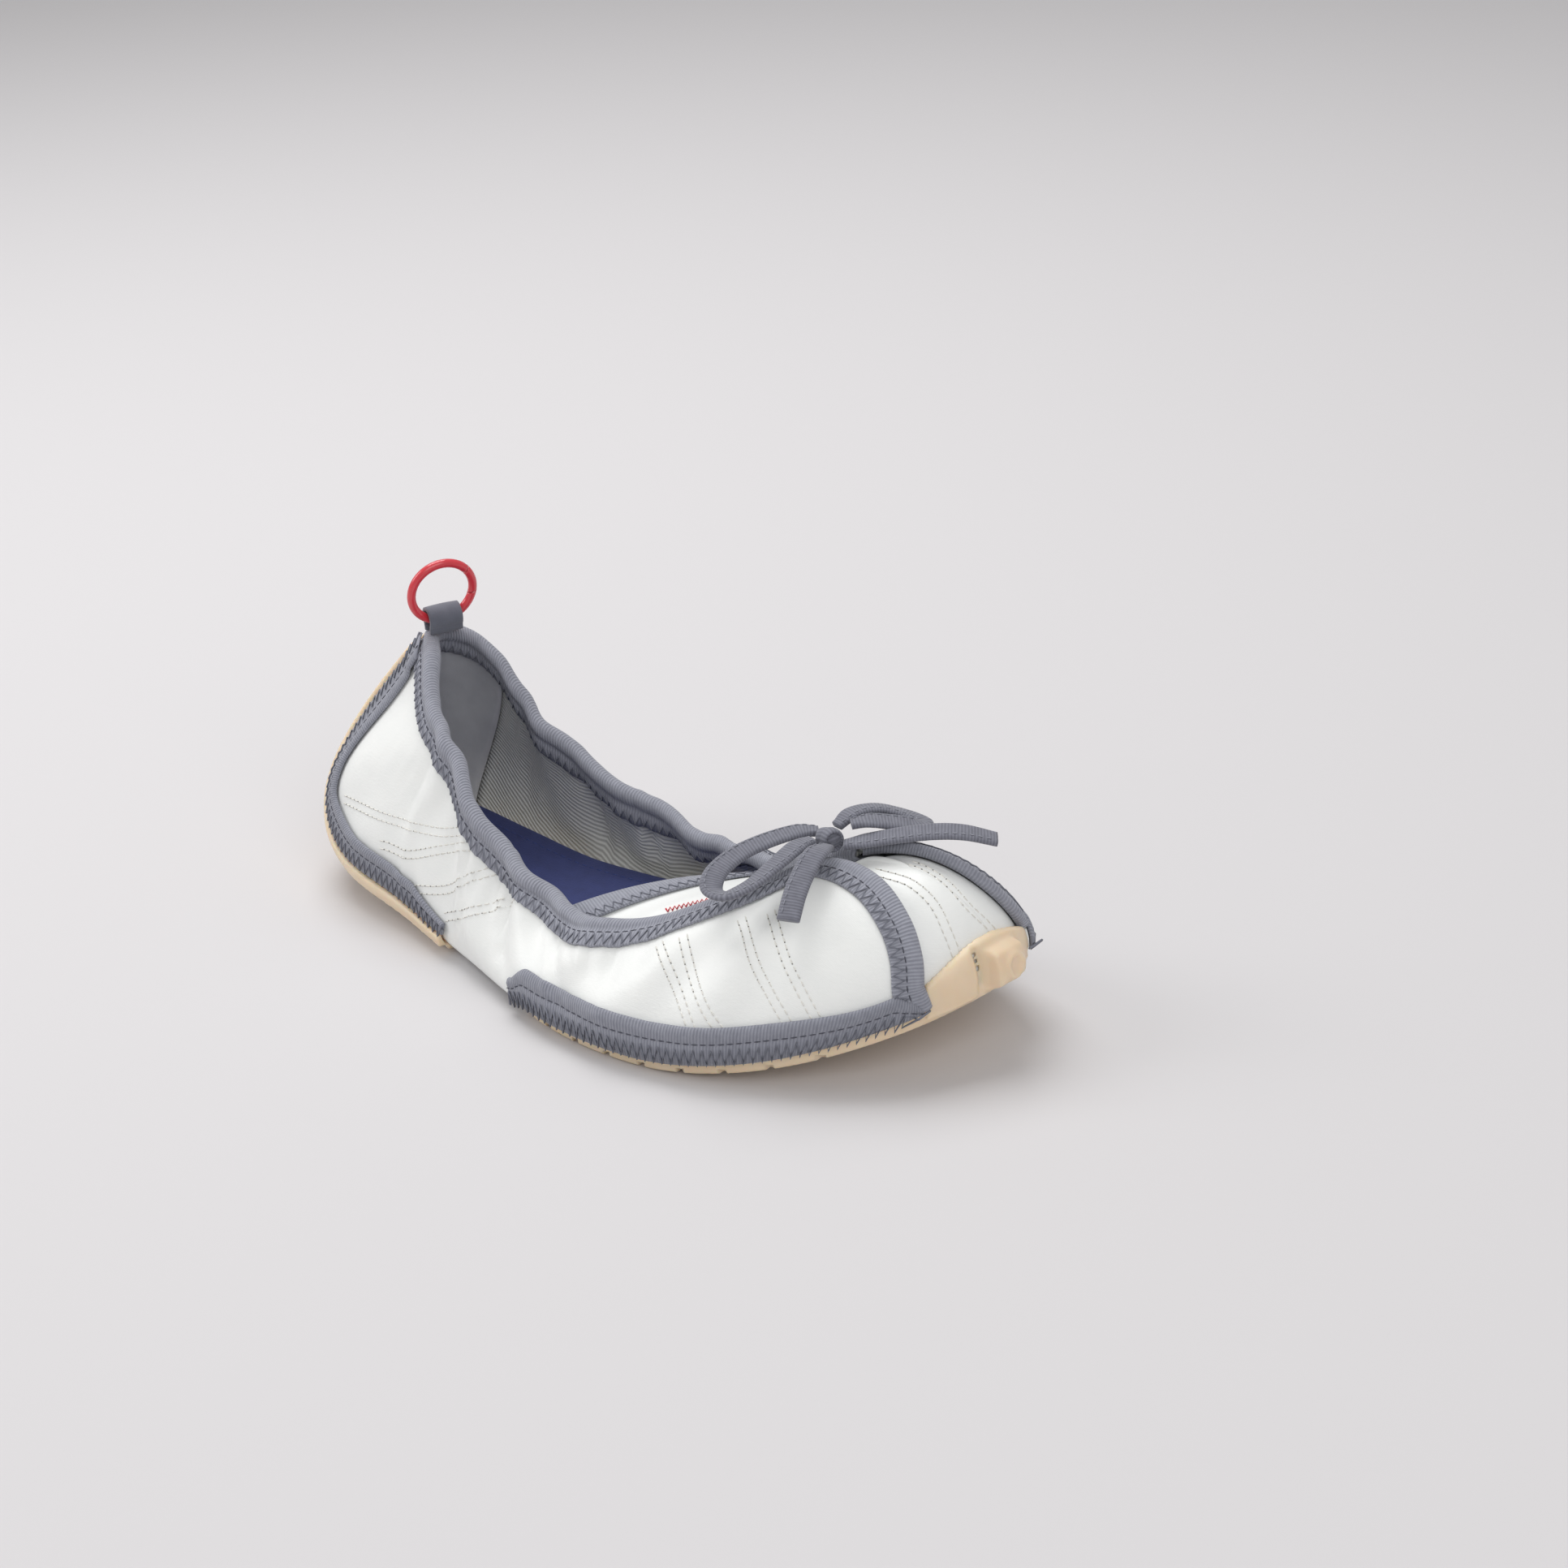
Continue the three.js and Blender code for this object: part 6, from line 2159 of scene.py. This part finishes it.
# ------------------------------------------------------------------ pull loop and ring
@dataclass
class PullLoop:
    """The webbing loop at the heel with the ring and its spring gate."""

    shop: Workshop
    ring_radius: float = 9.9
    wire: float = 1.35
    drop: float = 0.9
    lean: float = 12.0
    gate_start: float = 128.0
    gate_sweep: float = 48.0
    bore: float = 2.8
    tape: float = 1.0
    width: float = 10.5

    def _frame(self) -> tuple[np.ndarray, np.ndarray, np.ndarray, np.ndarray]:
        """The bore's middle, its axis, the direction across it and up, from the ring's joint.

        Returns:
            The point and the three directions.
        """
        joint = next(j for j in frame["record"]["behaviour"]["joints"] if j["name"] == "ring_swing")
        origin = np.array(joint["pos_m"]) / MM - SHIFT
        bore = unit(np.array(joint["axis"], float))
        up = np.array([0, 0, 1.0])
        return origin, bore, np.cross(up, bore), up

    def _ring_points(self, degrees: np.ndarray) -> tuple[np.ndarray, np.ndarray, np.ndarray]:
        """Points of the ring's centre line, the outward direction there, and the plane's normal.

        Args:
            degrees: angles round the ring.

        Returns:
            Points, outward directions and the normal.
        """
        origin, bore, back, up = self._frame()
        lean = math.radians(self.lean)
        rise = up * math.cos(lean) - back * math.sin(lean)
        normal = back * math.cos(lean) + up * math.sin(lean)
        a = np.radians(degrees)[:, None]
        centre = origin + rise * (self.ring_radius - self.drop)
        outward = bore * np.sin(a) - rise * np.cos(a)
        return centre + outward * self.ring_radius, outward, normal

    def _wire(self, name: str, start: float, end: float, bevel: tuple[float, float]) -> bpy.types.Object:
        """A length of the ring's wire; bevel slants its two ends, in degrees.

        Args:
            name: name of the piece.
            start: first angle, in degrees.
            end: last angle.
            bevel: slant of each end, in degrees.

        Returns:
            The piece.
        """
        degrees = np.linspace(start, end, max(12, int((end - start) / 2.5)))
        angle = np.linspace(0, 2 * np.pi, 25)[:-1]
        share = (degrees - start) / (end - start)
        slant = bevel[0] * (1 - share)[:, None] + bevel[1] * share[:, None]
        at = degrees[:, None] + slant * np.cos(angle)[None, :]
        points, outward, normal = self._ring_points(at.ravel())
        radial = outward * (self.wire * np.tile(np.cos(angle), len(degrees)))[:, None]
        side = normal[None, :] * (self.wire * np.tile(np.sin(angle), len(degrees)))[:, None]
        rings = (points + radial + side).reshape(len(degrees), len(angle), 3)
        cloth = Cloth()
        cloth.tube(rings, np.zeros((len(degrees), len(angle), 2)))
        return cloth.build(name, self.shop.looks.enamel)

    def _band(self, origin: np.ndarray, bore: np.ndarray, back: np.ndarray,
              up: np.ndarray) -> bpy.types.Object:
        """The folded webbing as a closed strip of even thickness.

        Args:
            origin: the bore's middle.
            bore: the bore's axis.
            back: the direction across it.
            up: the direction up.

        Returns:
            The piece.
        """
        mid = self.bore + self.tape / 2
        bottom = -self.bore - self.tape - 0.4
        turn = np.radians(np.linspace(-40, 220, 41))
        arc = np.stack([mid * np.cos(turn), mid * np.sin(turn)], 1)
        first_leg = np.array([(2.2, bottom), (2.35, bottom + 1.2)])
        last_leg = np.array([(-2.35, bottom + 1.2), (-2.2, bottom)])
        line = np.vstack([first_leg, arc, last_leg])
        step = unit(np.gradient(line, axis=0))
        side = np.stack([step[:, 1], -step[:, 0]], 1)
        k = np.linspace(-1, 1, 17)
        swell = 1 + 0.05 * np.cos(np.pi * k / 2)

        def face(offset: float) -> np.ndarray:
            """Points of the webbing's face at an offset from its middle line, in mm."""
            flat = line + side * offset
            return (origin + bore * (self.width / 2 * k)[None, :, None]
                    + back * (flat[:, :1] * swell)[..., None]
                    + up * (flat[:, 1:] * swell)[..., None])

        u = run_along(np.column_stack([line, 0 * line[:, 0]]))[:, None]
        cloth = Cloth()
        cloth.shell(face(self.tape / 2), face(-self.tape / 2),
                    np.stack(np.broadcast_arrays(u, 10 * k[None, :]), -1))
        return cloth.build("webbing_pull_loop", self.shop.looks.pull)

    def build(self) -> None:
        """Makes the loop, the ring and the gate."""
        gate_end = self.gate_start - self.gate_sweep
        origin, bore, back, up = self._frame()
        place(self._band(origin, bore, back, up), Held.HEEL, "pull_tape", ("pull_loop",))
        ring = self._wire("enamelled_ring", self.gate_start + 2.6, 360 + gate_end - 2.0, (0, 6))
        place(ring, Held.RING, "red_wire", ("ring",))
        gate = self._wire("enamelled_gate", gate_end, self.gate_start - 0.7, (6, 2))
        place(gate, Held.GATE, "red_wire", ("ring_gate",))


# ------------------------------------------------------------------ studio
@dataclass
class Studio:
    """Floor, soft light and the camera."""

    viewpoint: tuple[float, float, float] = (650.763, -558.432, 424.534)
    turn: float = 0.698798
    tilt: float = 0.453786
    roll: float = -0.050747
    lens: float = 66.666

    def camera(self) -> None:
        """The camera, from the outer side in front, looking down on the slipper."""
        data = bpy.data.cameras.new("Camera")
        data.lens, data.sensor_width, data.sensor_fit = self.lens, 36, "HORIZONTAL"
        data.clip_start, data.clip_end = 0.01, 50
        view = np.array([-math.sin(self.turn) * math.cos(self.tilt), math.cos(self.turn)
                         * math.cos(self.tilt),
                         -math.sin(self.tilt)])
        right = unit(np.cross(view, [0, 0, 1.0]))
        up = np.cross(right, view)
        side = right * math.cos(self.roll) + up * math.sin(self.roll)
        top = -right * math.sin(self.roll) + up * math.cos(self.roll)
        eye = bpy.data.objects.new("Camera", data)
        where = (np.array(self.viewpoint) + SHIFT) * MM
        eye.matrix_world = Matrix([[*map(float, (side[i], top[i], -view[i], where[i]))] for i in range(3)]
                                  + [[0, 0, 0, 1]])
        bpy.context.scene.collection.objects.link(eye)
        bpy.context.scene.camera = eye

    def _light(self, name: str, where: tuple, size: float, power: float, aim: tuple = (0, 0, 0.03)) -> None:
        """A square soft light.

        Args:
            name: name of the light.
            where: its place.
            size: its width.
            power: its power.
            aim: the point it faces.
        """
        data = bpy.data.lights.new(name, "AREA")
        data.shape, data.size, data.energy = "SQUARE", size, power
        lamp = bpy.data.objects.new(name, data)
        lamp.location = where
        lamp.rotation_euler = (Vector(aim) - Vector(where)).to_track_quat("-Z", "Y").to_euler()
        bpy.context.scene.collection.objects.link(lamp)

    def build(self) -> None:
        """Makes the floor and the lights."""
        cloth = Cloth()
        k = np.linspace(-6000, 6000, 3)
        corners = np.stack(np.meshgrid(k, k, indexing="ij"), -1)
        points = np.concatenate([corners, np.full((3, 3, 1), -0.05)], -1)
        cloth.grid(points, corners)
        paper = bpy.data.materials.new("Studio paper")
        paper.use_nodes = True
        shader = paper.node_tree.nodes["Principled BSDF"]
        shader.inputs["Base Color"].default_value = linear("#d3d1d2")
        shader.inputs["Roughness"].default_value = 0.9
        floor = cloth.build("studio_floor", paper)
        world = bpy.data.worlds.new("Studio")
        world.use_nodes = True
        world.node_tree.nodes["Background"].inputs["Color"].default_value = linear("#f2f1f2")
        world.node_tree.nodes["Background"].inputs["Strength"].default_value = 0.46
        bpy.context.scene.world = world
        self._light("Overhead", (-0.55, 0.35, 1.4), 1.0, 14)
        self._light("Window", (-1.2, -0.8, 0.9), 0.8, 7)
        self._light("Fill", (1.2, -0.7, 1.2), 1.3, 10)
        bpy.context.scene.view_settings.view_transform = "Standard"


SHIFT = origin_shift()


def main() -> None:
    """Builds the slipper, sub-assembly by sub-assembly."""
    logging.basicConfig(level=logging.INFO, format="%(name)s %(message)s")
    shop = Workshop(Form(), Finishes(), StitchTree(StitchKind.ZIGZAG), StitchTree(StitchKind.RUNNING))
    Studio().camera()
    for part in (Bow(shop), Soles(shop), Upper(shop), Vamp(shop), Bindings(shop), PullLoop(shop), Studio()):
        part.build()
        LOG.info("built %s", type(part).__name__)


if __name__ == "__main__":
    main()
